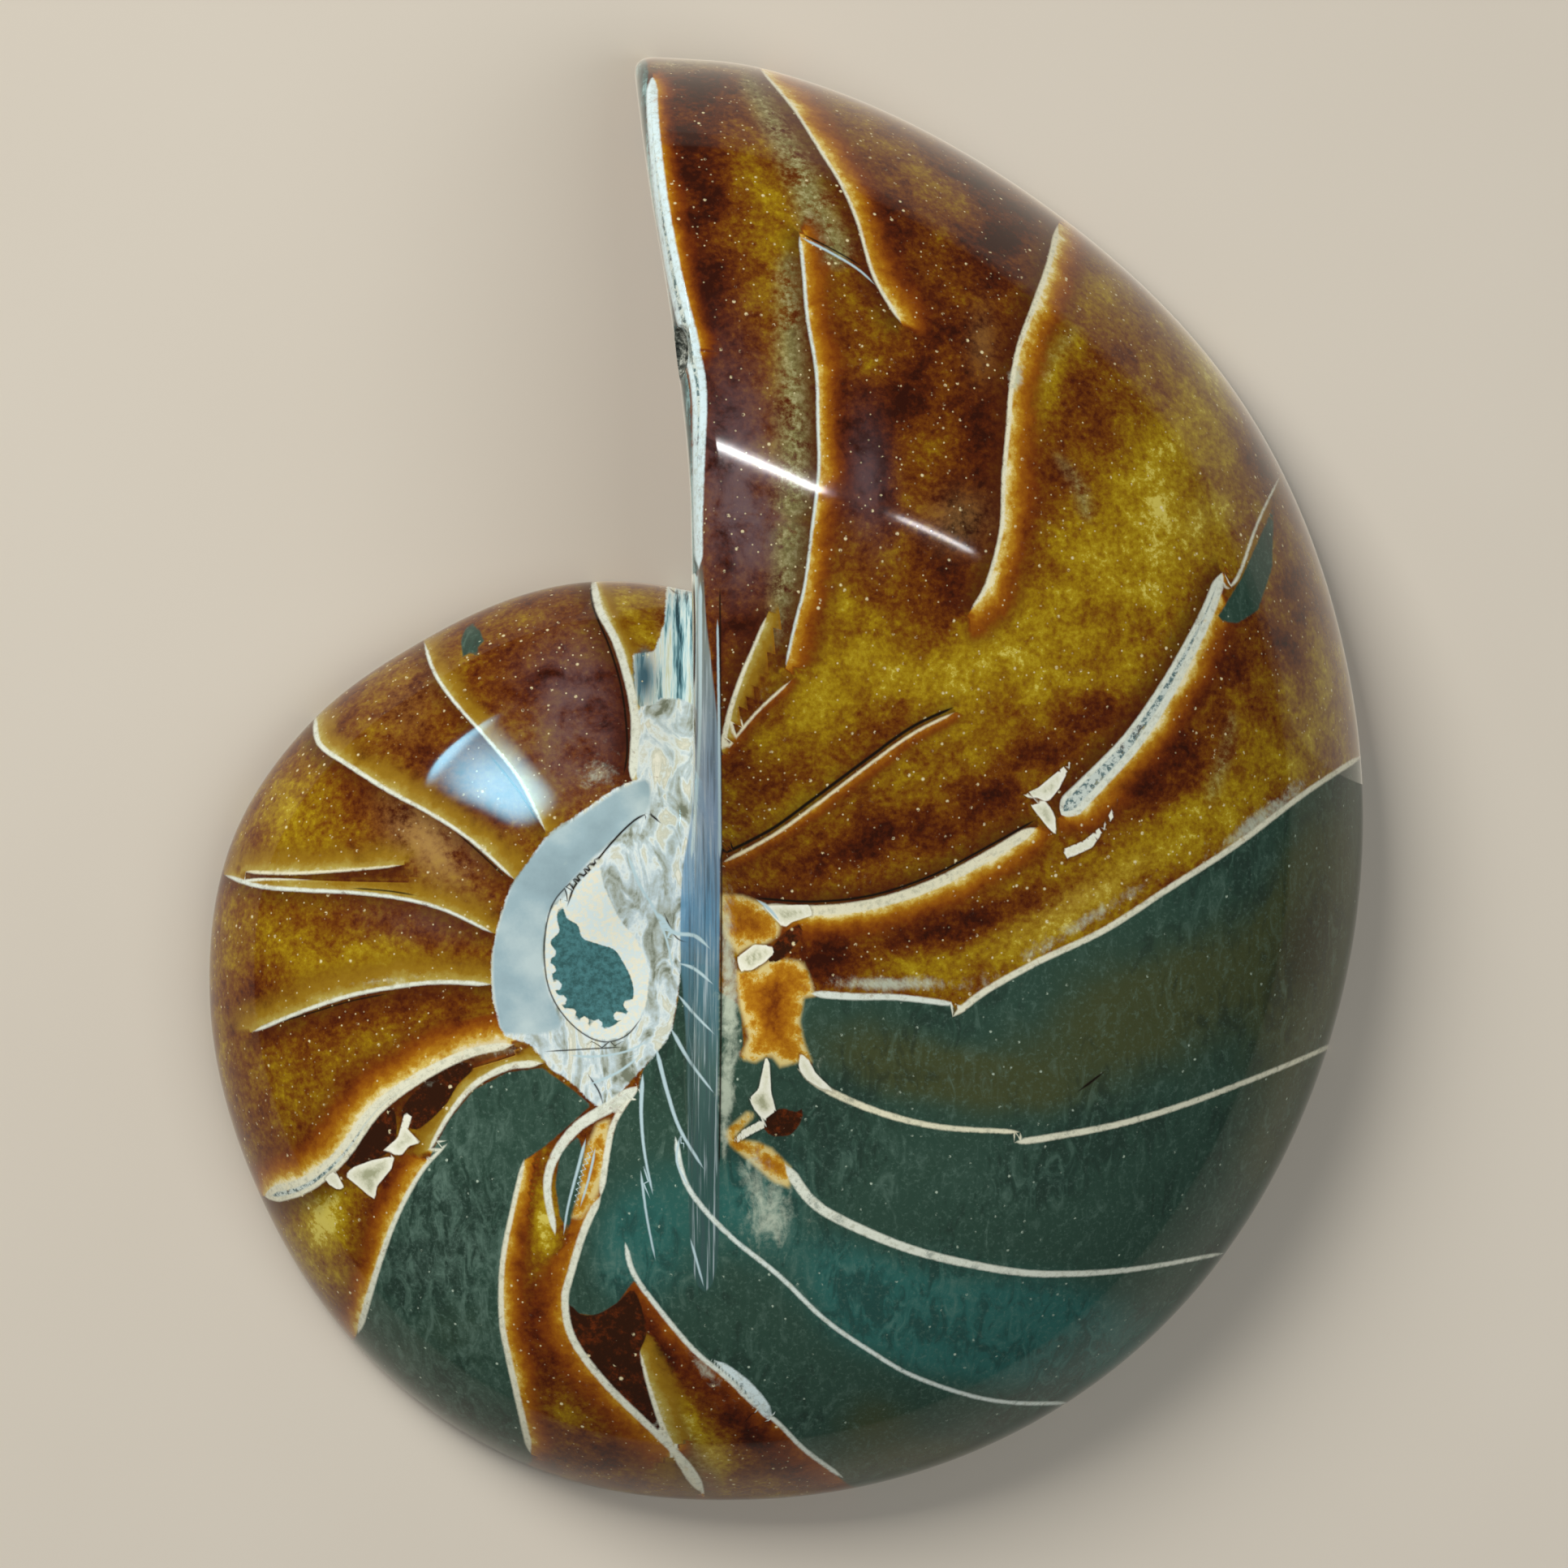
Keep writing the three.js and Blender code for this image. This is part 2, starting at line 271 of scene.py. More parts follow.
# Walls between chambers, led by two lines that are a painted reflection, the pale blue light along the rounded
# mouth edge: width at each end, how bright the stone is on the left of the line, how far that brightness
# reaches, whether it is orange (0) or olive (1), how blue the wall is, and the line
WALLS_AND_EDGE_REFLECTION = [
    # The first two lines are a painted reflection: pale blue light along the rounded edge of the mouth
    (13, 22, 0.84, 34, 0, 1.0, [(804, 94), (804, 140), (814, 241), (832, 344), (848, 410), (855, 448)]),
    (22, 9, 0.3, 24, 0, 1.0, [(842, 408), (856, 448), (862, 490), (861, 560), (860, 640), (861, 700)]),
    (3, 4, 0.93, 62, 0, 0.3, [(935, 82), (978, 133), (1011, 185), (1036, 225), (1057, 273), (1077, 340),
                           (1110, 397)]),
    (4, 3, 0.9, 56, 0, 0.7, [(985, 288), (990, 330), (995, 390), (1006, 456), (1008, 522), (1009, 580),
                          (1001, 650), (992, 720), (980, 768), (968, 822)]),
    (3, 7, 0.94, 40, 1, 0.2, [(945, 758), (928, 800), (915, 830), (900, 875), (889, 925)]),
    (3, 3, 0.7, 26, 0, 0.1, [(975, 838), (930, 880), (890, 930)]),
    (7, 4, 0.99, 66, 0, 0.2, [(1304, 276), (1293, 324), (1274, 377), (1255, 430), (1246, 482), (1243, 522),
                            (1237, 588), (1234, 654), (1216, 720), (1196, 752)]),
    (2, 4, 0.5, 30, 1, 0.4, [(1578, 585), (1550, 644), (1527, 708), (1510, 728)]),
    (14, 31, 0.97, 50, 0, 0.5, [(1506, 706), (1486, 759), (1443, 841), (1396, 912), (1346, 966), (1308, 1004)]),
    (13, 12, 1.0, 50, 0, 0.2, [(1276, 1020), (1221, 1053), (1150, 1090), (1075, 1114), (1000, 1122),
                            (936, 1118)]),
    (3, 4, 0.8, 26, 0, 0.0, [(1176, 878), (1123, 905), (1066, 946), (1000, 996), (950, 1031), (890, 1063)]),
    (6, 8, -0.12, 40, 0, 0.3, [(1680, 930), (1607, 978), (1525, 1040), (1443, 1093), (1361, 1146),
                            (1279, 1185), (1213, 1222), (1174, 1253)]),
    (6, 9, -0.1, 30, 0, 0.6, [(1180, 1238), (1107, 1229), (1050, 1228), (998, 1224)]),
    (5, 8, 0, 30, 0, 0.3, [(1650, 1284), (1592, 1310), (1520, 1339), (1448, 1365), (1376, 1386), (1297, 1401),
                        (1250, 1408)]),
    (5, 9, 0, 30, 0, 0.2, [(1258, 1395), (1160, 1389), (1088, 1372), (1023, 1345), (984, 1318)]),
    (4, 13, 0, 30, 0, 0.5, [(1510, 1544), (1412, 1562), (1340, 1569), (1268, 1569), (1196, 1558), (1124, 1540),
                         (1052, 1511), (1002, 1482), (968, 1436)]),
    (4, 6, 0, 30, 0, 0.7, [(1320, 1729), (1254, 1729), (1196, 1720), (1124, 1695), (1074, 1666), (1016, 1626),
                        (960, 1572), (905, 1528), (864, 1486), (842, 1450), (832, 1400)]),
    (5, 6, 0.62, 60, 0, 0.6, [(1040, 1822), (992, 1787), (958, 1753), (924, 1726), (897, 1699), (856, 1665),
                           (815, 1617), (781, 1570), (770, 1530)]),
    (8, 9, 0.8, 70, 0, 0.4, [(868, 1842), (849, 1808), (802, 1760), (747, 1706), (706, 1651), (696, 1604),
                          (703, 1570), (720, 1515), (740, 1474)]),
    (8, 6, 0.5, 40, 0, 0.4, [(740, 1474), (747, 1427), (757, 1382), (786, 1338)]),
    (3, 9, 0.9, 50, 1, 0.3, [(788, 1664), (800, 1710), (817, 1760), (838, 1802), (862, 1838)]),
    (8, 5, -0.9, 50, 0, 0.3, [(654, 1792), (636, 1715), (626, 1670), (618, 1625), (619, 1556), (632, 1488),
                           (646, 1428)]),
    (16, 7, 0.3, 30, 0, 0.5, [(786, 1340), (754, 1362), (712, 1388), (684, 1424), (674, 1464), (684, 1522)]),
    (8, 4, 0.94, 50, 0, 0.4, [(441, 1644), (466, 1560), (489, 1498), (520, 1442), (552, 1408)]),
    (4, 9, 0.9, 36, 1, 0.4, [(526, 1422), (553, 1374), (584, 1337), (625, 1315), (668, 1310)]),
    (22, 9, 1.0, 70, 0, 0.3, [(326, 1474), (376, 1460), (420, 1424), (462, 1368), (516, 1328), (577, 1298),
                           (632, 1287)]),
    (4, 5, 0.89, 60, 1, 0.5, [(310, 1272), (370, 1247), (430, 1227), (480, 1217), (540, 1210), (606, 1213)]),
    (5, 3, 0.85, 50, 1, 0.6, [(276, 1078), (320, 1092), (380, 1097), (440, 1100), (500, 1108), (550, 1122),
                          (608, 1150)]),
    (4, 2, 0.94, 50, 1, 0.2, [(300, 1074), (360, 1076), (430, 1072), (496, 1066)]),
    (6, 3, 0.9, 50, 1, 0.5, [(388, 880), (393, 916), (430, 943), (480, 975), (530, 1002), (580, 1035),
                           (634, 1084)]),
    (4, 3, 0.84, 40, 1, 0.6, [(522, 790), (535, 828), (560, 865), (600, 910), (640, 960), (672, 1024)]),
    (6, 17, 0, 30, 0, 0.9, [(880, 1676), (898, 1688), (918, 1705), (934, 1724), (950, 1750)]),
    (8, 11, 0.95, 26, 1, 0.5, [(730, 709), (738, 750), (758, 788), (773, 834), (782, 880), (782, 920),
                            (779, 962)]),
]

# Thin white threads: width at each end and the line
THREADS = [
    (5, 2, [(792, 1322), (790, 1370), (794, 1420), (805, 1475)]),
    (3, 2, [(789, 1440), (797, 1500), (808, 1555)]),
    (5, 3, [(808, 1290), (822, 1345), (838, 1392), (868, 1442)]),
    (5, 2, [(826, 1266), (850, 1308), (882, 1350)]),
    (4, 2, [(834, 1224), (856, 1250), (882, 1276)]),
    (5, 4, [(810, 1120), (828, 1148), (856, 1153), (876, 1170)]),
    (4, 3, [(834, 1186), (856, 1194), (880, 1214)]),
    (3, 2, [(850, 1524), (868, 1588)]),
    (3, 2, [(838, 1398), (834, 1432), (850, 1466)]),
    (3, 2, [(985, 291), (1024, 311), (1057, 331), (1080, 352)]),
    (4, 2, [(772, 1050), (788, 1090), (806, 1120), (822, 1160), (830, 1200)]),
    (3, 2, [(700, 1300), (730, 1302), (770, 1296), (804, 1280)]),
    (3, 3, [(722, 1338), (760, 1322), (790, 1300)]),
    (4, 4, [(863, 716), (863, 800), (862, 900), (858, 980), (852, 1060)]),
    (2, 4, [(884, 760), (886, 900), (887, 1060)]),
    (4, 4, [(930, 1107), (946, 1118), (963, 1138)]),
    (4, 2, [(722, 1402), (712, 1440), (700, 1486), (694, 1524)]),
    (3, 2, [(734, 1412), (726, 1450), (714, 1490)]),
]

# Dark cracks
CRACKS = [
    (2.0, [(985, 286), (1030, 309), (1066, 330)]),
    (4.0, [(1178, 870), (1123, 896), (1066, 937), (1000, 986), (950, 1022), (888, 1054)]),
    (3.0, [(1278, 1009), (1221, 1041), (1150, 1078), (1075, 1103), (1000, 1111), (926, 1106)]),
    (2.6, [(802, 1000), (780, 1012), (752, 1040), (728, 1070), (708, 1092), (698, 1120)]),
    (1.6, [(740, 1052), (712, 1079), (688, 1103), (677, 1124), (671, 1156), (671, 1188), (677, 1220),
           (692, 1248), (716, 1272), (744, 1284), (772, 1276), (792, 1252)]),
    (2.5, [(728, 712), (731, 748), (752, 800), (767, 855), (773, 920), (768, 958)]),
    (1.6, [(668, 1296), (700, 1294), (735, 1292), (770, 1290)]),
    (2.0, [(722, 1320), (738, 1345), (744, 1365)]),
    (1.8, [(316, 1266), (370, 1252), (430, 1234), (480, 1224)]),
    (1.8, [(430, 1094), (480, 1098), (516, 1104)]),
    (3.0, [(1326, 1347), (1346, 1332), (1364, 1318)]),
    (1.6, [(816, 1120), (832, 1154), (850, 1162)]),
    (2.0, [(887, 720), (888, 900), (889, 1100), (888, 1300), (886, 1440)]),
    (4.0, [(796, 1000), (806, 1007), (816, 1016)]),
    (2.2, [(600, 926), (640, 976), (664, 1016)]),
    (1.8, [(560, 1024), (590, 1050), (626, 1084)]),
    (2.4, [(855, 714), (856, 780), (855, 850)]),
    (3.0, [(822, 722), (832, 730), (840, 732)]),
]

# Broad soft veils in the amber: width at each end and the line
VEILS = [
    (24, 56, [(915, 86), (948, 142), (982, 205), (1010, 275), (1036, 330)]),
    (30, 54, [(972, 310), (974, 400), (978, 480), (980, 560), (978, 640)]),
    (54, 20, [(978, 640), (972, 700), (960, 760), (950, 800)]),
    (10, 22, [(1314, 292), (1296, 350), (1280, 402), (1264, 440)]),
    (5, 9, [(1326, 403), (1310, 424), (1288, 452)]),
    (16, 12, [(800, 84), (830, 78), (880, 76), (930, 86)]),
    (4, 44, [(800, 1694), (826, 1745), (852, 1800), (876, 1840)]),
    (6, 16, [(1302, 560), (1330, 600), (1340, 640)]),
    (6, 12, [(1520, 880), (1510, 930), (1490, 990)]),
]

# Chambers filled with dark green sediment
GREEN = [
    [(1720, 905), (1607, 980), (1525, 1042), (1443, 1095), (1361, 1148), (1279, 1187), (1213, 1224),
     (1174, 1256), (1178, 1238), (1107, 1231), (1004, 1228), (990, 1230), (985, 1262), (990, 1288),
     (1003, 1314), (975, 1306), (940, 1302), (905, 1302), (916, 1290), (913, 1240), (884, 1220), (880, 1192),
     (836, 1180), (836, 1226), (828, 1268), (812, 1290), (792, 1318), (786, 1342), (760, 1380),
     (748, 1427), (740, 1474), (722, 1515), (704, 1570), (697, 1604), (706, 1618), (734, 1622), (761, 1606),
     (781, 1578), (800, 1600), (815, 1617), (856, 1665), (897, 1699), (924, 1726), (958, 1753), (992, 1787),
     (1046, 1830), (1200, 1900), (1500, 1800), (1800, 1400)],
    [(390, 1720), (438, 1648), (466, 1562), (489, 1500), (520, 1444), (553, 1380), (584, 1343),
     (625, 1321), (668, 1316), (705, 1342), (728, 1362), (700, 1388), (672, 1412), (646, 1430),
     (632, 1488), (619, 1556), (618, 1625), (626, 1670), (636, 1715), (656, 1800), (560, 1880)],
    [(1570, 622), (1568, 700), (1550, 752), (1525, 768), (1498, 764), (1512, 742), (1530, 712),
     (1548, 672)],
    [(690, 1420), (712, 1400), (720, 1424), (714, 1466), (700, 1516), (690, 1500), (684, 1460)],
    [(568, 790), (572, 776), (582, 768), (592, 778), (596, 790), (588, 798), (590, 808), (578, 804),
     (570, 810)],
]
AMBER_ISLANDS = [
    [(889, 1103), (916, 1105), (943, 1116), (962, 1137), (958, 1152), (943, 1162), (922, 1166),
     (908, 1174), (893, 1152), (887, 1122)],
    [(908, 1198), (931, 1196), (954, 1181), (988, 1186), (996, 1202), (1003, 1226), (990, 1228),
     (984, 1259), (990, 1285), (999, 1308), (981, 1308), (962, 1314), (950, 1298), (931, 1308),
     (914, 1304), (924, 1278), (912, 1240)],
    [(893, 1396), (921, 1371), (929, 1374), (912, 1392), (902, 1404), (931, 1408), (950, 1416),
     (974, 1440), (972, 1462), (954, 1456), (924, 1430), (900, 1410)],
    [(722, 1420), (736, 1386), (750, 1380), (746, 1430), (736, 1470), (716, 1500), (706, 1500),
     (716, 1466)],
]

# Clear dark calcite
POCKETS = [
    [(700, 1606), (716, 1620), (740, 1618), (762, 1604), (780, 1590), (792, 1616), (796, 1646), (788, 1672),
     (800, 1712), (814, 1760), (798, 1760), (757, 1718), (722, 1678), (700, 1640)],
    [(428, 1440), (434, 1413), (455, 1386), (482, 1364), (489, 1392), (482, 1414), (466, 1428)],
    [(494, 1370), (516, 1340), (543, 1318), (570, 1309), (584, 1316), (564, 1337), (550, 1360),
     (526, 1384), (508, 1392)],
    [(940, 1386), (950, 1372), (964, 1366), (980, 1370), (990, 1366), (986, 1384), (974, 1398), (956, 1400),
     (946, 1396)],
    [(946, 1176), (968, 1148), (990, 1138), (986, 1156), (966, 1180), (950, 1186)],
]

# Broken pieces of shell wall
FRAGMENTS = [
    [(499, 1370), (507, 1376), (502, 1392), (518, 1408), (504, 1412), (494, 1424), (472, 1418), (490, 1402)],
    [(424, 1448), (436, 1438), (458, 1430), (486, 1424), (482, 1440), (464, 1462), (462, 1478),
     (453, 1472), (444, 1464)],
    [(400, 1452), (412, 1442), (418, 1452), (424, 1464), (416, 1466), (406, 1460)],
    [(1377, 984), (1373, 1005), (1346, 1044), (1316, 1058), (1309, 1047), (1336, 1036), (1361, 1015)],
    [(1257, 981), (1279, 971), (1324, 934), (1305, 972), (1290, 990), (1284, 984)],
    [(1270, 992), (1290, 988), (1300, 1005), (1302, 1030), (1290, 1018)],
    [(943, 1304), (948, 1304), (950, 1346), (956, 1369), (941, 1380), (930, 1368), (923, 1354), (935, 1342)],
    [(939, 1380), (945, 1388), (927, 1397), (908, 1408), (904, 1405), (916, 1392)],
    [(908, 1180), (929, 1164), (950, 1165), (955, 1173), (943, 1185), (927, 1195), (912, 1197)],
    [(986, 1298), (995, 1304), (1006, 1324), (1030, 1346), (1010, 1340), (994, 1330), (984, 1316)],
    [(940, 1116), (1000, 1115), (1000, 1128), (976, 1136), (966, 1144)],
]

# The umbilicus: the pale filling, the ring, the hollow's ragged crystal lining and the hollow
PALE = [
    [(812, 958), (780, 962), (756, 973), (712, 1003), (676, 1028), (656, 1055), (632, 1087), (620, 1118),
     (610, 1154), (605, 1190), (607, 1226), (612, 1250), (622, 1276), (650, 1286), (664, 1300),
     (682, 1320), (700, 1330), (722, 1352), (742, 1364), (766, 1344), (790, 1318), (812, 1294),
     (828, 1266), (838, 1200), (842, 1140), (856, 1080), (858, 1000), (840, 960)],
    [(812, 958), (786, 962), (784, 880), (806, 868), (820, 860), (862, 880), (862, 990), (838, 1004)],
]
STRIPED = [
    [(822, 714), (860, 706), (864, 860), (862, 960), (850, 1004), (826, 1000), (812, 960), (804, 900),
     (783, 860), (780, 806), (806, 802), (818, 770)],
]
RING = [
    [(800, 962), (780, 964), (756, 976), (712, 1006), (676, 1030), (632, 1088), (610, 1154), (606, 1200),
     (612, 1250), (624, 1274), (690, 1268), (678, 1226), (670, 1188), (672, 1150), (680, 1118),
     (714, 1076), (752, 1038), (798, 1000)],
]
LINING = [
    [(700, 1100), (678, 1124), (672, 1156), (672, 1188), (678, 1220), (692, 1247), (716, 1270),
     (744, 1281), (772, 1273), (792, 1248), (799, 1214), (796, 1186), (784, 1158), (762, 1130),
     (744, 1090), (738, 1066), (726, 1074)],
]
HOLLOW = [
    [(692, 1116), (699, 1132), (712, 1140), (718, 1156), (740, 1164), (757, 1170), (768, 1186),
     (776, 1202), (781, 1222), (776, 1242), (765, 1257), (748, 1267), (730, 1265), (711, 1257),
     (697, 1244), (687, 1228), (681, 1206), (677, 1186), (684, 1173), (678, 1160), (689, 1148),
     (686, 1130)],
]
TEETH = [
    (679, 1174), (679, 1194), (686, 1214), (692, 1232), (704, 1248), (720, 1258), (736, 1262), (762, 1252),
    (774, 1238),
]

# Rounded edge of the last whorl beside the older one, coloured with a painted reflection of pale light
ROD_REFLECTION = [
    [(859, 690), (866, 696), (870, 760), (877, 820), (885, 900), (888, 1000), (886, 1300), (884, 1560),
     (852, 1560), (846, 1300), (838, 1180), (840, 1080), (852, 1000), (857, 900), (858, 780)],
]

# Broken outer edge of the shell along the mouth
LIP = [
    [(780, 60), (798, 80), (796, 140), (806, 241), (821, 344), (834, 400), (836, 430), (848, 470), (852, 540),
     (856, 640), (858, 712), (830, 712), (820, 540), (790, 300), (770, 100)],
]

# Soft patches: middle, half sizes, turn and strength
CLOUDS = [
    (1430, 560, 90, 170, 20, 0.8), (1370, 700, 120, 60, -20, 0.7), (1290, 800, 150, 50, -15, 0.7),
    (1100, 800, 90, 50, 30, 0.7), (1290, 470, 26, 60, 14, 1.7), (1090, 420, 40, 60, 10, 0.5),
    (960, 420, 26, 200, 0, 0.3), (1120, 560, 30, 40, 0, 0.4), (1500, 420, 60, 60, 40, 0.5),
    (1000, 870, 100, 40, -35, 0.9), (1590, 880, 60, 70, 0, 0.7), (1480, 1000, 120, 40, -35, 1.0),
    (1250, 900, 120, 40, -30, 0.6), (1330, 1110, 140, 30, -30, 1.0), (1090, 1185, 90, 18, 0, 0.5),
    (960, 1010, 50, 20, -30, 0.6), (440, 880, 60, 44, 0, 0.05), (500, 880, 50, 60, 30, 0.1),
    (380, 1030, 80, 40, 0, 0.6), (340, 960, 45, 50, 0, 0.45), (400, 1160, 140, 40, 0, 0.4),
    (770, 740, 36, 40, 0, 0.5), (500, 1190, 90, 20, -5, 0.6), (360, 1350, 60, 50, 0, 0.5),
    (480, 1290, 60, 30, -20, 0.4), (400, 1505, 24, 40, 20, 1.6), (440, 1560, 30, 50, 0, 0.5),
    (672, 1508, 16, 44, 0, 2.2), (690, 1740, 50, 30, 40, 0.2), (600, 820, 60, 40, 0, 0.3),
    (846, 1756, 20, 40, -30, 1.6), (878, 1800, 24, 30, -20, 1.2), (1500, 520, 40, 80, -30, 0.3),
    (1640, 800, 24, 60, -5, 0.5), (540, 1366, 50, 14, -40, 0.8),
]
DEEPS = [
    (856, 260, 44, 190, -5, 0.9), (900, 560, 44, 220, -4, 0.9), (880, 140, 50, 60, 0, 0.7),
    (1090, 520, 44, 130, 0, 0.5), (1150, 420, 60, 60, 0, 0.5), (1090, 270, 40, 70, -30, 0.9),
    (1196, 520, 36, 200, 6, 1.1), (1080, 580, 50, 120, 5, 0.8), (1190, 210, 70, 24, 40, 0.8),
    (1240, 300, 40, 60, 0, 0.9), (1400, 430, 60, 30, 40, 0.6), (1560, 560, 26, 90, -22, 0.9),
    (1470, 860, 90, 24, -50, 0.8), (1170, 700, 50, 60, 0, 0.7), (1300, 560, 30, 70, 10, 0.5),
    (1430, 960, 90, 30, -45, 1.0), (1590, 770, 26, 80, -5, 0.8), (1060, 1040, 90, 22, -28, 1.0),
    (930, 950, 40, 30, 0, 0.9), (1180, 1140, 140, 20, -18, 1.2), (1020, 1180, 60, 22, 0, 1.0),
    (1190, 1010, 70, 30, -25, 0.8), (1310, 900, 80, 26, -35, 0.7), (440, 1000, 50, 35, 0, 0.3),
    (620, 820, 90, 50, 10, 0.7), (710, 850, 40, 90, 0, 0.4), (560, 960, 60, 30, 30, 0.4),
    (470, 1140, 110, 16, 5, 0.4), (400, 1262, 100, 16, -12, 0.5), (320, 1380, 24, 40, 0, 0.6),
    (810, 1650, 20, 50, -35, 1.3), (940, 1770, 80, 24, 42, 1.4), (632, 1480, 10, 60, 0, 1.3),
    (720, 1780, 60, 20, 25, 0.6), (660, 1640, 20, 60, 0, 0.6), (480, 1470, 40, 14, -60, 0.8),
    (760, 900, 30, 60, 0, 0.7), (900, 1385, 20, 14, -40, 0.8),
]
TANS = [
    (818, 760, 8, 50, 0, 0.7), (1330, 1110, 90, 16, -30, 0.3), (1180, 640, 40, 30, 0, 0.4),
    (870, 1800, 22, 22, 0, 0.5), (600, 1290, 40, 12, -10, 0.5), (1210, 420, 16, 40, 0, 0.3),
    (526, 1040, 56, 26, 45, 0.9), (794, 915, 9, 50, 0, 1.0), (500, 860, 40, 60, 20, 0.2),
]
BLUES = [(794, 834, 14, 34, 0, 1.5)]
OLIVES = [
    (1430, 1240, 190, 70, -28, 1.3), (1620, 1160, 60, 180, 10, 1.6), (1090, 1300, 90, 50, 10, 0.9),
    (1200, 1330, 120, 30, 8, 1.0), (900, 1790, 160, 30, 20, 0.5), (1180, 1800, 160, 30, -5, 0.9),
    (1080, 1750, 60, 40, 0, 0.6), (560, 1640, 60, 90, 0, 0.3), (1560, 1420, 60, 90, 20, 0.5),
]
TEALS = [
    (1250, 1640, 160, 60, 5, 1.5), (1080, 1600, 120, 50, 30, 1.1), (920, 1480, 60, 60, 30, 0.9),
    (820, 1500, 60, 90, 0, 0.7), (770, 1540, 40, 60, 0, 0.8),
]
DUSTS = [
    (560, 1560, 100, 190, 10, 1.0), (540, 1450, 60, 50, -30, 0.5), (760, 1560, 40, 40, 0, 0.4),
    (960, 1500, 60, 60, 0, 0.5), (1150, 1450, 120, 30, 10, 0.3), (1000, 1800, 120, 30, 15, 0.4),
]
# Painted sheen: mauve patches where the polish reflects the light
MAUVE_SHEENS = [
    (905, 580, 60, 130, 0, 1.0), (940, 660, 60, 60, 0, 0.7), (1068, 590, 26, 70, -5, 0.8),
    (706, 870, 60, 90, 0, 1.0), (560, 1040, 60, 40, 20, 0.3), (640, 960, 60, 40, 0, 0.6),
    (520, 1130, 70, 30, 5, 0.4), (1490, 620, 40, 60, 0, 0.2),
]
# White wisps in the stone, and last a painted grey-blue sheen where the polish reflects the light
HAZES_AND_SHEEN = [
    (897, 1150, 8, 60, 0, 1.0), (900, 1250, 12, 60, 0, 1.2), (896, 1345, 10, 40, 0, 1.1),
    (892, 1400, 5, 40, 0, 0.9), (946, 1496, 36, 46, 0, 0.9), (930, 1440, 26, 24, 20, 0.6),
    (1330, 1140, 120, 9, -31, 0.85), (1560, 1003, 80, 10, -38, 1.1), (1100, 1212, 90, 9, 0, 1.2),
    (870, 1690, 10, 40, -40, 0.7), (540, 1330, 30, 8, -30, 0.6), (1010, 1310, 8, 12, 0, 0.6),
    (470, 1210, 60, 5, -8, 0.7), (590, 1296, 60, 8, -4, 0.8), (1252, 466, 8, 24, 14, 1.5),
    # Painted sheen: a grey-blue reflection on the older whorl
    (735, 952, 30, 22, -30, 0.75),
]


def seen(points):
    """Where the eye sees points of the stone, in steps across and down the view."""
    nearer = EYE[2] / (EYE[2] - points[:, 2])
    step = FRAME_WIDTH / STEPS
    across = STEPS / 2 + (points[:, 0] - EYE[0]) * nearer / step
    down = STEPS / 2 - (points[:, 1] - EYE[1]) * nearer / step
    return np.stack([across, down], axis=1)


def rounded(corners, closed=False, pieces=4):
    """Points along a smooth curve through corners."""
    corners = np.array(corners, float)
    if closed:
        before, after, beyond = (np.roll(corners, k, axis=0) for k in (1, -1, -2))
    else:
        ends = np.vstack([2 * corners[:1] - corners[1:2], corners, 2 * corners[-1:] - corners[-2:-1]])
        before, corners, after, beyond = ends[:-3], ends[1:-2], ends[2:-1], ends[3:]
    t = (np.arange(pieces) / pieces)[None, :, None]
    a, b, c, d = (side[:, None] for side in (before, corners, after, beyond))
    curve = b + 0.5 * t * (c - a + t * (2 * a - 5 * b + 4 * c - d + t * (3 * (b - c) + d - a)))
    curve = curve.reshape(-1, 2)
    return curve if closed else np.vstack([curve, after[-1:]])


def nearest(places, line, closed=False, reach=130):
    """Distance to a line, signed by its right-hand side, and how far along it that is."""
    best = np.full(len(places), 1e3)
    side = np.full(len(places), 1e3)
    way = np.zeros(len(places))
    near = np.all((places > line.min(axis=0) - reach) & (places < line.max(axis=0) + reach), axis=1)
    here = places[near]
    found = np.full((3, len(here)), 1e3)
    start = line if closed else line[:-1]
    end = np.roll(line, -1, axis=0) if closed else line[1:]
    passed = 0.0
    for a, b in zip(start, end):
        run = b - a
        length = max(math.hypot(*run), 1e-6)
        offset = here - a
        t = np.clip(offset @ run / length**2, 0, 1)
        gap = np.hypot(*(offset - t[:, None] * run).T)
        cross = (run[0] * offset[:, 1] - run[1] * offset[:, 0]) / length
        closer = gap < found[0]
        found[:, closer] = gap[closer], cross[closer], passed + t[closer] * length
        passed += length
    best[near], side[near], way[near] = found
    return best, side, way, passed


def inside(places, outline):
    """Distance inside a closed outline, negative outside."""
    gap, _, _, _ = nearest(places, outline, closed=True)
    x, y = places.T
    within = np.zeros(len(places), bool)
    for (x0, y0), (x1, y1) in zip(outline, np.roll(outline, -1, axis=0)):
        if y1 != y0:
            within ^= ((y0 > y) != (y1 > y)) & (x < x0 + (y - y0) * (x1 - x0) / (y1 - y0))
    return np.where(within, gap, -gap)


def patches(places, spots):
    """Soft patches added up, each with its middle, half sizes, turn in degrees and strength."""
    total = np.zeros(len(places))
    for across, down, long, short, turn, strength in spots:
        c, s = math.cos(math.radians(turn)), math.sin(math.radians(turn))
        dx, dy = (places - (across, down)).T
        squared = ((dx * c + dy * s) / long) ** 2 + ((dy * c - dx * s) / short) ** 2
        total += strength * np.exp(-squared)
    return total


def lines_at(places, lines):
    """For each line, the distance, signed distance and half width, tapered to both ends."""
    for first, last, *rest, corners in lines:
        gap, side, way, length = nearest(places, rounded(corners))
        end = np.minimum(way, length - way)
        taper = np.sqrt(np.clip(end / TAPER, 0, 1))
        half = (first + (last - first) * way / length) / 2 * taper - CLOSED_END * (1 - taper)
        yield gap, side, half, rest


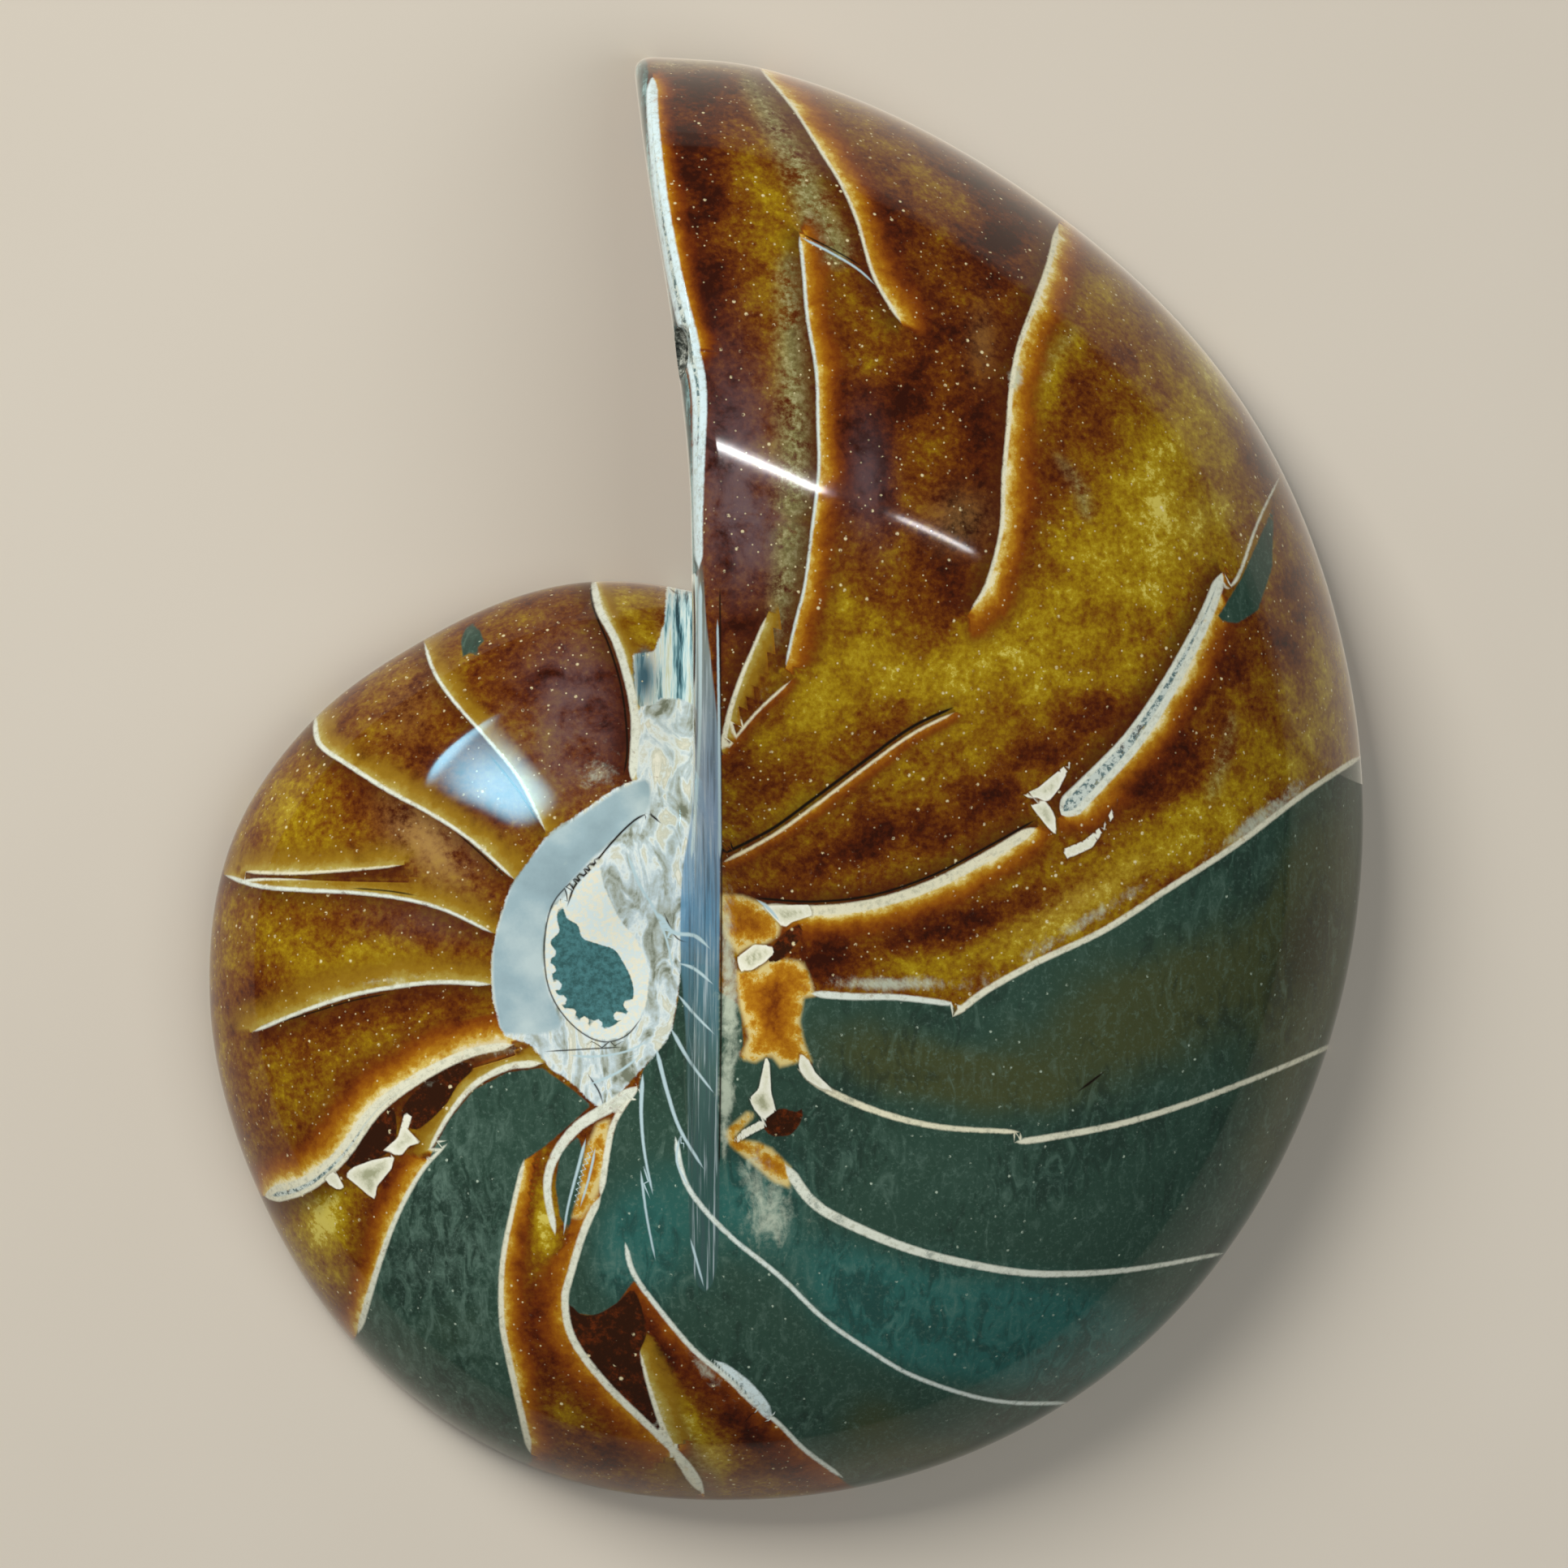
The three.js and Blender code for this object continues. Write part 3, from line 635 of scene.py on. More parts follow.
def drawn(places, lines):
    """Distance, signed distance and half width of the nearest of several lines."""
    nearby = np.full((3, len(places)), 1e3)
    nearby[2] = 0
    for gap, side, half, _ in lines_at(places, lines):
        closer = gap - half < nearby[0] - nearby[2]
        nearby[:, closer] = gap[closer], side[closer], half[closer]
    return nearby


def wall_values(places):
    """The nearest wall, its warm side being positive, and the light and shade beside all walls."""
    rows = list(lines_at(places, WALLS_AND_EDGE_REFLECTION))
    nearest_one = np.argmin([gap - half for gap, _, half, _ in rows], axis=0)
    closest = np.min([gap for gap, _, _, _ in rows], axis=0)
    names = ("gap", "side", "half", "olive", "blue", "own_glow", "own_shade", "glow", "shade")
    values = {name: np.zeros(len(places)) for name in names}
    for row, (gap, side, half, (warmth, reach, olive, blue)) in enumerate(rows):
        warm_side = side if warmth < 0 else -side
        beside = warm_side / np.maximum(gap, 1e-3)
        share = abs(warmth) * ((closest + 2) / (gap + 2)) ** 1.5
        glow = share * np.clip(1 - (gap - half) / reach, 0, 1)
        shade = share * np.clip(1 - (gap - half) / SHADE_REACH, 0, 1)
        own = nearest_one == row
        ends = smoothstep(np.abs(beside), 0, 0.7)
        here = {"gap": gap, "side": warm_side, "half": half, "olive": olive, "blue": blue,
                "own_glow": glow * ends, "own_shade": shade * ends}
        for name, value in here.items():
            values[name] = np.where(own, value, values[name])
        away = np.where(own, 0, 1)
        values["glow"] = np.maximum(values["glow"], glow * away * smoothstep(beside, 0, 0.7))
        values["shade"] = np.maximum(values["shade"], shade * away * smoothstep(-beside, 0, 0.7))
    return {f"wall_{name}": value for name, value in values.items()}


def most_inside(places, outlines, smooth=True):
    shapes = [rounded(o, closed=True) if smooth else np.array(o, float) for o in outlines]
    return np.max([inside(places, shape) for shape in shapes], axis=0)


def marking_values(points):
    """Every marking of the flank as one number at each point."""
    places = seen(points)
    thread = drawn(places, THREADS)
    crack = drawn(places, [(width, width, line) for width, line in CRACKS])
    veil = np.zeros(len(places))
    for gap, _, half, _ in lines_at(places, VEILS):
        veil = np.maximum(veil, 1 - smoothstep(gap - half, *VEIL_EDGE))
    islands = most_inside(places, AMBER_ISLANDS, smooth=False)
    hollow = most_inside(places, HOLLOW)
    for tooth in TEETH:
        hollow = np.minimum(hollow, np.hypot(*(places - tooth).T) - TOOTH_RADIUS)
    return {
        **wall_values(places),
        "thread_gap": thread[0], "thread_side": thread[1], "thread_half": thread[2],
        "crack_gap": crack[0], "crack_side": crack[1], "crack_half": crack[2],
        "green": np.minimum(most_inside(places, GREEN, smooth=False), -islands),
        "island": islands,
        "pocket": most_inside(places, POCKETS),
        "fragment": most_inside(places, FRAGMENTS, smooth=False),
        "pale": most_inside(places, PALE),
        "ring": most_inside(places, RING),
        "lining": most_inside(places, LINING),
        "hollow": hollow,
        # Painted reflection on the rounded edge
        "rod": most_inside(places, ROD_REFLECTION),
        "lip": most_inside(places, LIP),
        "striped": most_inside(places, STRIPED, smooth=False),
        "blue": patches(places, BLUES),
        "veil": veil,
        "cloud": patches(places, CLOUDS),
        "deep": patches(places, DEEPS),
        "tan": patches(places, TANS),
        "olive": patches(places, OLIVES) - patches(places, TEALS),
        # Painted sheen of the polish, in mauve
        "mauve": patches(places, MAUVE_SHEENS),
        "dust": patches(places, DUSTS),
        # White wisps in the stone, and one painted sheen
        "haze": patches(places, HAZES_AND_SHEEN),
        "down": places[:, 1] / STEPS,
    }


# Finishes

class Value:
    """A socket of a finish that takes part in sums."""

    def __init__(self, finish, socket):
        self.finish = finish
        self.socket = socket

    def _sum(self, operation, *terms):
        return self.finish.node("ShaderNodeMath", {"operation": operation}, terms)

    def __add__(self, other):
        return self._sum("ADD", self, other)

    __radd__ = __add__

    def __sub__(self, other):
        return self._sum("SUBTRACT", self, other)

    def __rsub__(self, other):
        return self._sum("SUBTRACT", other, self)

    def __mul__(self, other):
        return self._sum("MULTIPLY", self, other)

    __rmul__ = __mul__

    def __truediv__(self, other):
        return self._sum("DIVIDE", self, other)

    def __neg__(self):
        return self._sum("MULTIPLY", self, -1)

    def __abs__(self):
        return self._sum("ABSOLUTE", self)

    def most(self, other):
        return self._sum("MAXIMUM", self, other)


class Finish:
    """A procedural finish, built node by node."""

    def __init__(self, name):
        self.material = bpy.data.materials.new(name)
        self.material.use_nodes = True
        self.tree = self.material.node_tree
        self.tree.nodes.clear()

    def node(self, kind, settings=None, inputs=(), output=0):
        """Adds a node. Settings come first, then its sockets' values or links, by place or name."""
        made = self.tree.nodes.new(kind)
        for key, value in (settings or {}).items():
            if key == "stops":
                self._set_stops(made.color_ramp, value)
            else:
                setattr(made, key, value)
        named = inputs.items() if isinstance(inputs, dict) else enumerate(inputs)
        for key, value in named:
            socket = made.inputs[key]
            if isinstance(value, Value):
                self.tree.links.new(value.socket, socket)
            else:
                socket.default_value = value
        return Value(self, made.outputs[output]) if made.outputs else None

    @staticmethod
    def _set_stops(ramp, stops):
        while len(ramp.elements) < len(stops):
            ramp.elements.new(1)
        for element, (place, colour) in zip(ramp.elements, stops):
            element.position = place
            element.color = (*colour, 1)

    def marking(self, name):
        return self.node("ShaderNodeAttribute", {"attribute_name": name}, output="Fac")

    def place(self, stretch=(1, 1, 1), offset=0.0):
        """Place on the stone, in metres, moved and stretched."""
        return self.node("ShaderNodeMapping", inputs={
            "Vector": self.node("ShaderNodeTexCoord", output="Object"), "Scale": stretch,
            "Location": (offset, offset, offset)})

    def noise(self, size, detail=3.0, roughness=0.5, stretch=(1, 1, 1), swirl=0.0, offset=0.0):
        """Cloudy noise from 0 to 1 with the given grain size in millimetres."""
        return self.node("ShaderNodeTexNoise", inputs={
            "Vector": self.place(stretch, offset), "Scale": 1 / (size * MM), "Detail": detail,
            "Roughness": roughness, "Distortion": swirl}, output="Fac")

    def specks(self, spacing, size, offset=0.0):
        """Scattered dots with the given spacing and size in millimetres."""
        gap = self.node("ShaderNodeTexVoronoi", inputs={
            "Vector": self.place(offset=offset), "Scale": 1 / (spacing * MM)}, output="Distance")
        return self.fade(gap, size / spacing, 0.4 * size / spacing)

    def fade(self, value, low, high, to_low=0.0, to_high=1.0):
        """Runs smoothly from one value to another as its input goes from low to high."""
        return self.node("ShaderNodeMapRange", {"interpolation_type": "SMOOTHSTEP"},
                         (value, low, high, to_low, to_high))

    def mix(self, share, one, other):
        made = self.tree.nodes.new("ShaderNodeMix")
        made.data_type = "RGBA"
        for key, value in (("Factor_Float", share), ("A_Color", one), ("B_Color", other)):
            socket = next(s for s in made.inputs if s.identifier == key)
            if isinstance(value, Value):
                self.tree.links.new(value.socket, socket)
            else:
                socket.default_value = value if key == "Factor_Float" else (*value, 1)
        return Value(self, next(s for s in made.outputs if s.identifier == "Result_Color"))

    def ramp(self, value, stops):
        return self.node("ShaderNodeValToRGB", {"stops": stops}, (value,))

    def line(self, name, rough=0.0, soft=1.2):
        """1 on a marking's lines and 0 off them."""
        side, gap, half = (self.marking(f"{name}_{part}") for part in ("side", "gap", "half"))
        on = 1 - self.fade(abs(side + rough) - half, -soft, soft)
        return on * (1 - self.fade(gap - half, 3, 6))

    def bump(self, height, strength, distance):
        return self.node("ShaderNodeBump", inputs={
            "Strength": strength, "Distance": distance, "Height": height}, output="Normal")

    def polish(self, colour, roughness, normal=None):
        """The finished surface, with how smoothly it is ground and polished."""
        inputs = {"Base Color": colour, "Roughness": roughness, "IOR": POLISH_IOR}
        if normal is not None:
            inputs["Normal"] = normal
        shader = self.node("ShaderNodeBsdfPrincipled", inputs=inputs)
        self.node("ShaderNodeOutputMaterial", inputs=(shader,))
        return self.material


def tint(red, green, blue):
    """A colour as a screen shows it, from 0 to 255, in the shader's linear values."""
    shares = np.array([red, green, blue]) / 255
    return tuple(np.where(shares > 0.04045, ((shares + 0.055) / 1.055) ** 2.4, shares / 12.92).tolist())


POLISH_IOR = 1.36
RED_BROWN = tint(62, 24, 8)
TAN = tint(168, 132, 74)
SHEEN_MAUVE = tint(104, 88, 92)
COLD_BLUE = tint(60, 92, 104)
CLEAR_BROWN = tint(104, 44, 12)
GLINT = tint(216, 204, 160)
CREAM = tint(226, 216, 176)
BLUE_WHITE = tint(206, 226, 228)
SHELL_GREY = tint(150, 152, 128)
CORE_GREY = tint(88, 112, 112)
CORE_PALE = tint(196, 206, 196)
HAZE_AND_SHEEN_WHITE = tint(190, 200, 178)
THREAD_WHITE = tint(176, 200, 204)
DARK_GREEN = tint(45, 69, 57)
TEAL = tint(44, 94, 87)
MOSS = tint(64, 70, 42)
DEEP_MOSS = tint(48, 42, 22)
GREEN_SHADE = tint(28, 38, 32)
GREEN_GREY = tint(104, 130, 116)
PALE_GRAIN = tint(176, 192, 172)
HOLLOW_TEAL = tint(74, 122, 124)
HOLLOW_DARK = tint(52, 88, 88)
LINING_COLD = tint(206, 220, 218)
LINING_WARM = tint(226, 222, 198)
# Light and dark streaks in the painted reflection on the rounded edge
ROD_REFLECTION_LIGHT = tint(190, 204, 208)
ROD_REFLECTION_DARK = tint(64, 78, 82)
FLOOR_SAND = tint(198, 189, 174)
FLOOR_PALE = tint(206, 198, 184)
SMOKE = tint(46, 22, 8)
INK = tint(24, 16, 8)
UNDERCUT = tint(40, 22, 10)
AMBER_DEPTHS = [
    (0.0, tint(48, 16, 5)), (0.2, tint(78, 30, 6)), (0.38, tint(104, 54, 7)), (0.55, tint(124, 84, 9)),
    (0.72, tint(146, 114, 11)), (0.88, tint(166, 140, 24)), (1.0, tint(200, 184, 84)),
]
WARM_EDGE = [
    (0.0, tint(74, 24, 8)), (0.36, tint(94, 34, 8)), (0.56, tint(118, 56, 8)), (0.72, tint(146, 86, 11)),
    (0.84, tint(174, 124, 24)), (0.93, tint(206, 178, 88)), (1.0, tint(226, 216, 172)),
]
OLIVE_EDGE = [
    (0.0, tint(112, 76, 10)), (0.4, tint(124, 88, 14)), (0.7, tint(142, 108, 24)), (0.88, tint(166, 146, 66)),
    (0.96, tint(188, 180, 130)), (1.0, tint(206, 204, 168)),
]
VEIL_TINTS = [(0.3, tint(94, 88, 52)), (0.5, tint(128, 124, 76)), (0.7, tint(172, 168, 124))]
ISLAND_DEPTHS = [
    (0.0, tint(206, 186, 120)), (0.1, tint(192, 150, 54)), (0.24, tint(172, 116, 20)), (0.5, tint(148, 88, 12)),
    (0.8, tint(112, 54, 8)), (1.0, tint(80, 34, 8)),
]
FRAGMENT_TINTS = [(0.0, tint(234, 234, 216)), (0.4, tint(214, 214, 188)), (0.8, tint(160, 162, 130))]
BROKEN_TINTS = [(0.35, tint(34, 38, 36)), (0.5, tint(96, 100, 92)), (0.65, tint(196, 200, 188))]
PALE_LAYERS = [
    (0.32, tint(112, 118, 100)), (0.4, tint(158, 166, 154)), (0.5, tint(186, 202, 204)),
    (0.56, tint(214, 224, 220)), (0.62, tint(196, 198, 178)), (0.72, tint(226, 226, 208)),
]
STRIPED_TINTS = [
    (0.36, tint(40, 72, 80)), (0.43, tint(108, 150, 158)), (0.49, tint(178, 210, 212)),
    (0.58, tint(216, 228, 220)), (0.7, tint(196, 200, 160)),
]
LIP_TINTS = [(0.36, tint(30, 52, 52)), (0.5, tint(62, 92, 90)), (0.64, tint(128, 164, 164))]
RING_TINTS = [(0.3, tint(132, 154, 160)), (0.5, tint(150, 174, 180)), (0.7, tint(180, 198, 198))]
# Painted reflection in the rounded edge, from top to bottom
ROD_REFLECTION_TINTS = [
    (0.36, tint(112, 120, 102)), (0.44, tint(122, 138, 140)), (0.52, tint(134, 160, 184)),
    (0.58, tint(98, 146, 176)), (0.62, tint(78, 116, 130)), (0.68, tint(68, 96, 92)), (0.76, tint(52, 82, 76)),
]


def amber_colour(finish):
    """Amber calcite: warm beside each wall, clouded and speckled inside, with a painted mauve sheen."""
    mottle = finish.noise(3.2, detail=9, roughness=0.68, swirl=0.3)
    grain = finish.noise(0.5, detail=4, roughness=0.65, offset=0.3)
    patchy = finish.noise(9.0, detail=2, offset=0.7)
    light = 0.45 + finish.marking("cloud") * 0.32 - finish.marking("deep") * 0.34
    light = light + (mottle - 0.5) * 1.3 + (grain - 0.5) * 0.8 + (patchy - 0.5) * 0.6
    colour = finish.ramp(light, AMBER_DEPTHS)
    # Painted sheen: a mauve reflection of the light on the polish
    mauve = finish.marking("mauve") * finish.fade(mottle, 0.3, 0.6)
    colour = finish.mix(mauve * 0.6, colour, SHEEN_MAUVE)
    veil = finish.marking("veil") * finish.fade(mottle + (grain - 0.5) * 0.6, 0.28, 0.54)
    colour = finish.mix(veil * 0.88, colour, finish.ramp(grain, VEIL_TINTS))
    warm_side = finish.fade(finish.marking("wall_side"), -1, 1)
    shade = (finish.marking("wall_own_shade") * (1 - warm_side)).most(finish.marking("wall_shade"))
    shade = shade + (mottle - 0.5) * 0.7
    colour = finish.mix(finish.fade(shade, 0.35, 1.0) * 0.75, colour, RED_BROWN)
    glow = (finish.marking("wall_own_glow") * warm_side).most(finish.marking("wall_glow"))
    heat = glow + (mottle - 0.5) * 0.6 + (grain - 0.5) * 0.25
    warm = finish.mix(finish.marking("wall_olive"), finish.ramp(heat, WARM_EDGE), finish.ramp(heat, OLIVE_EDGE))
    colour = finish.mix(finish.fade(glow + (mottle - 0.5) * 1.1, 0.16, 0.7), colour, warm)
    tan = finish.marking("tan") * finish.fade(mottle + (grain - 0.5) * 0.5, 0.3, 0.6)
    colour = finish.mix(tan * 0.8, colour, TAN)
    blue = finish.fade(finish.marking("blue") + (grain - 0.5) * 0.6, 0.3, 0.9)
    colour = finish.mix(blue, colour, COLD_BLUE)
    glints = finish.specks(1.3, 0.19) * finish.fade(patchy * 0.6 + grain, 0.74, 0.9)
    fine = finish.specks(0.7, 0.11, offset=0.2) * finish.fade(mottle, 0.4, 0.58)
    return finish.mix((glints * 0.95).most(fine * 0.8), colour, GLINT)


def green_colour(finish):
    """Dark green sediment: fine-grained, with pale specks and brushed streaks."""
    sand = finish.noise(0.35, detail=4, roughness=0.7)
    drift = finish.noise(11, detail=4, roughness=0.6, offset=0.2)
    streak = finish.noise(2.0, detail=5, roughness=0.62, stretch=(1.5, 0.6, 1), swirl=1.4, offset=0.5)
    olive = finish.marking("olive") + (drift - 0.5) * 1.0
    colour = finish.mix(finish.fade(olive, 0.1, 1.1), DARK_GREEN, MOSS)
    colour = finish.mix(finish.fade(olive, 1.2, 2.4), colour, DEEP_MOSS)
    colour = finish.mix(finish.fade(olive, 0.0, -1.0), colour, TEAL)
    colour = finish.mix(finish.fade(drift + (streak - 0.5) * 0.8, 0.5, 0.3) * 0.5, colour, GREEN_SHADE)
    colour = finish.mix(finish.fade(sand, 0.5, 0.75) * 0.35, colour, GREEN_GREY)
    colour = finish.mix(finish.fade(streak, 0.52, 0.76) * 0.3, colour, GREEN_GREY)
    brushed = finish.marking("dust") * finish.fade(streak + (sand - 0.5) * 0.3, 0.36, 0.68)
    colour = finish.mix(brushed * 0.42, colour, GREEN_GREY)
    specks = finish.specks(1.3, 0.16, offset=0.1) * finish.fade(sand, 0.42, 0.6)
    return finish.mix(specks * 0.85, colour, PALE_GRAIN)


def umbilicus_colour(finish, colour, crystal):
    """Pale filling round the hollow, its crystal lining and the dark sediment in it."""
    layers = finish.noise(3.4, detail=3, roughness=0.5, stretch=(1.6, 0.7, 1), swirl=1.6, offset=0.4)
    soft = finish.noise(5.0, detail=2, offset=0.1)
    pale = finish.ramp(layers + (crystal - 0.5) * 0.22, PALE_LAYERS)
    streaks = finish.noise(0.7, detail=4, roughness=0.65, stretch=(1.3, 0.09, 0.09), offset=0.6)
    striped = finish.ramp(streaks, STRIPED_TINTS)
    edge = finish.fade(finish.marking("lip") + (crystal - 0.5) * 6, -1, 1)
    colour = finish.mix(edge, colour, finish.ramp(streaks + (crystal - 0.5) * 0.5, LIP_TINTS))
    share = finish.fade(finish.marking("striped") + (crystal - 0.5) * 7, -1.5, 1.5)
    colour = finish.mix(share * (1 - finish.marking("blue") * 0.7), colour, striped)
    ring = finish.ramp(soft + (crystal - 0.5) * 0.15, RING_TINTS)
    pale = finish.mix(finish.fade(finish.marking("ring"), -2, 4), pale, ring)
    share = finish.fade(finish.marking("pale") + (crystal - 0.5) * 7, -1.5, 1.5)
    colour = finish.mix(share, colour, pale)
    lining = finish.marking("lining")
    white = finish.mix(finish.fade(crystal, 0.42, 0.6), LINING_COLD, LINING_WARM)
    colour = finish.mix(finish.fade(lining + (crystal - 0.5) * 3, -1.5, 1.5), colour, white)
    sediment = finish.mix(finish.fade(crystal, 0.35, 0.65), HOLLOW_TEAL, HOLLOW_DARK)
    ragged = (crystal - 0.5) * 3
    return finish.mix(finish.fade(finish.marking("hollow") + ragged, -1.0, 1.0), colour, sediment)


def rod_reflection_colour(finish, crystal):
    """The rounded edge beside the older whorl: a painted reflection of pale light, streaked along its length.
    """
    streaks = finish.noise(0.5, detail=3, roughness=0.6, stretch=(1.6, 0.05, 0.05), offset=0.8)
    colour = finish.ramp(finish.marking("down") + (crystal - 0.5) * 0.02, ROD_REFLECTION_TINTS)
    colour = finish.mix(finish.fade(streaks, 0.52, 0.68) * 0.5, colour, ROD_REFLECTION_LIGHT)
    return finish.mix(finish.fade(streaks, 0.48, 0.34) * 0.5, colour, ROD_REFLECTION_DARK)


def flank_finish():
    finish = Finish("polished_flank")
    crystal = finish.noise(0.5, detail=5, roughness=0.7, offset=0.9)
    rough_edge = (crystal - 0.5) * 5
    colour = amber_colour(finish)
    island = finish.marking("island") + rough_edge * 0.5
    blotch = finish.noise(1.6, detail=5, roughness=0.7, offset=0.6)
    colour = finish.mix(finish.fade(finish.marking("green") + rough_edge * 0.6, -1.5, 1.5), colour,
                        green_colour(finish))
    depth = island / 46 + (crystal - 0.5) * 0.5 + (blotch - 0.5) * 1.5
    colour = finish.mix(finish.fade(island, -5, 3), colour, finish.ramp(depth, ISLAND_DEPTHS))
    pocket = finish.marking("pocket") + rough_edge * 0.5
    clear = finish.mix(finish.fade(blotch + (crystal - 0.5) * 0.8, 0.46, 0.8), SMOKE, CLEAR_BROWN)
    clear = finish.mix(finish.specks(1.1, 0.24, offset=0.35) * finish.fade(blotch, 0.5, 0.56), clear, GLINT)
    colour = finish.mix(finish.fade(pocket, -1.2, 1.2), colour, clear)
    colour = umbilicus_colour(finish, colour, crystal)
    # Painted reflection of pale light along the rounded edge
    rod = finish.fade(finish.marking("rod"), -1, 2) * finish.fade(finish.marking("down"), 0.35, 0.38)
    colour = finish.mix(rod * 0.92, colour, rod_reflection_colour(finish, crystal))
    # White wisps in the stone, and one painted grey-blue sheen
    wisps = finish.noise(1.4, detail=5, roughness=0.6, stretch=(1, 0.6, 1), swirl=1.2, offset=0.15)
    haze = finish.marking("haze") + (crystal - 0.5) * 1.0 + (wisps - 0.5) * 1.6
    colour = finish.mix(finish.fade(haze, 0.3, 1.3) * 0.75, colour, HAZE_AND_SHEEN_WHITE)
    colour = finish.mix(finish.line("crack", rough_edge * 0.16), colour, INK)

    # The bluest lines, along the mouth edge, are a painted reflection of pale light in the rounded edge
    wall_colour = finish.mix(finish.marking("wall_blue"), CREAM, BLUE_WHITE)
    wall_colour = finish.mix(finish.fade(crystal, 0.45, 0.7) * 0.5, wall_colour, SHELL_GREY)
    side, half = finish.marking("wall_side"), finish.marking("wall_half")
    core = finish.fade(half - 7 - abs(side + 1.5), -1, 2)
    wall_core = finish.mix(finish.fade(crystal, 0.4, 0.55), CORE_GREY, CORE_PALE)
    wall_colour = finish.mix(core, wall_colour, wall_core)
    worn = finish.fade(blotch + (crystal - 0.5) * 0.6, 0.28, 0.46, 0.5, 1.0)
    colour = finish.mix(finish.line("wall", rough_edge * 0.5, 1.6) * worn, colour, wall_colour)
    fragment = finish.marking("fragment") + rough_edge * 0.3
    colour = finish.mix(finish.fade(fragment, -3.5, -1) * 0.3, colour, UNDERCUT)
    chalky = fragment / 14 + (crystal - 0.5) * 0.6 + (blotch - 0.5) * 1.2
    colour = finish.mix(finish.fade(fragment, -1, 1), colour, finish.ramp(chalky, FRAGMENT_TINTS))
    colour = finish.mix(finish.line("thread", rough_edge * 0.2), colour, THREAD_WHITE)
    broken = finish.fade(finish.marking("broken"), 0.0, 0.08)
    colour = finish.mix(broken, colour, finish.ramp(crystal, BROKEN_TINTS))
    roughness = 0.035 + crystal * 0.04 + broken * 0.5
    return finish.polish(colour, roughness, finish.bump(crystal * broken, 0.8, 0.0005))


def coil_lines(finish):
    """Walls of the section on a sawn face, and a number for each chamber."""
    x, y, _ = (finish.node("ShaderNodeSeparateXYZ", inputs=(finish.place(),), output=k) for k in range(3))
    radius = finish.node("ShaderNodeMath", {"operation": "SQRT"}, (x * x + y * y,))
    turn = finish.node("ShaderNodeMath", {"operation": "ARCTAN2"}, (x, y))
    shrunk = finish.node("ShaderNodeMath", {"operation": "LOGARITHM"},
                         (radius / (MOUTH_RADIUS * 0.99 * MM), math.e))
    whorls = -shrunk / (SPIRAL_RATE * math.tau) - turn / math.tau
    whorl = finish.node("ShaderNodeMath", {"operation": "FLOOR"}, (whorls,))
    across = whorls - whorl
    septa = (turn + whorl * math.tau) / math.radians(19) - across * (1 - across) * 3.4
    chamber = finish.node("ShaderNodeMath", {"operation": "FLOOR"}, (septa,))
    to_wall = 0.5 - abs(across - 0.5)
    to_septum = 0.5 - abs(septa - chamber - 0.5)
    return to_wall, to_septum, chamber, across


def sawn_finish():
    finish = Finish("sawn_face")
    crystal = finish.noise(0.5, detail=5, roughness=0.7, offset=0.9)
    mottle = finish.noise(3.0, detail=8, roughness=0.66, swirl=0.5)
    to_wall, to_septum, chamber, across = coil_lines(finish)
    luck = finish.node("ShaderNodeTexWhiteNoise", {"noise_dimensions": "1D"}, {"W": chamber}, "Value")
    edge = finish.fade(to_septum, 0.18, 0.03) * 0.5 + finish.fade(to_wall, 0.1, 0.02) * 0.5
    light = 0.3 + luck * 0.3 + (mottle - 0.5) * 1.6 + edge * 0.35
    amber = finish.ramp(light, AMBER_DEPTHS)
    green = finish.mix(finish.fade(mottle, 0.35, 0.65), DARK_GREEN, TEAL)
    colour = finish.mix(finish.fade(luck, 0.58, 0.6), amber, green)
    tube = finish.fade(abs(across - 0.5), 0.035, 0.025)
    colour = finish.mix(tube * 0.7, colour, SMOKE)
    septum = finish.fade(to_septum + (crystal - 0.5) * 0.01, 0.026, 0.018)
    wall = finish.fade(to_wall + (crystal - 0.5) * 0.008, 0.020, 0.014)
    pale = finish.mix(finish.fade(crystal, 0.4, 0.65), CREAM, BLUE_WHITE)
    colour = finish.mix(septum.most(wall), colour, pale)
    return finish.polish(colour, 0.16 + crystal * 0.08)


def mouth_finish():
    finish = Finish("ground_mouth")
    crystal = finish.noise(0.5, detail=5, roughness=0.7, offset=0.9)
    mottle = finish.noise(3.4, detail=8, roughness=0.66, swirl=0.6)
    patchy = finish.noise(10.0, detail=2, offset=0.7)
    in_from_edge = (finish.marking("below_edge") * -1).most(finish.marking("above_foot") * -1) * -1
    in_from_edge = in_from_edge + (crystal - 0.5) * 1.2
    warmth = finish.fade(in_from_edge + (mottle - 0.5) * 5, 6, 0.5)
    light = 0.3 + warmth * 0.4 + (mottle - 0.5) * 1.5 + (patchy - 0.5) * 0.8 + (crystal - 0.5) * 0.8
    colour = finish.ramp(light, AMBER_DEPTHS)
    colour = finish.mix(finish.fade(warmth, 0.2, 1.0) * 0.8, colour, finish.ramp(warmth, WARM_EDGE))
    fine = finish.specks(0.8, 0.11, offset=0.2) * finish.fade(mottle, 0.42, 0.6)
    colour = finish.mix(fine * 0.8, colour, GLINT)
    shell = finish.mix(finish.fade(crystal, 0.42, 0.6), CREAM, BLUE_WHITE)
    colour = finish.mix(finish.fade(in_from_edge, 1.25, 1.0), colour, shell)
    return finish.polish(colour, 0.12 + crystal * 0.08)


def floor_finish():
    finish = Finish("pale_floor")
    soft = finish.noise(60, detail=3)
    return finish.polish(finish.mix(soft, FLOOR_SAND, FLOOR_PALE), 0.6 + soft * 0.1)


# Pieces

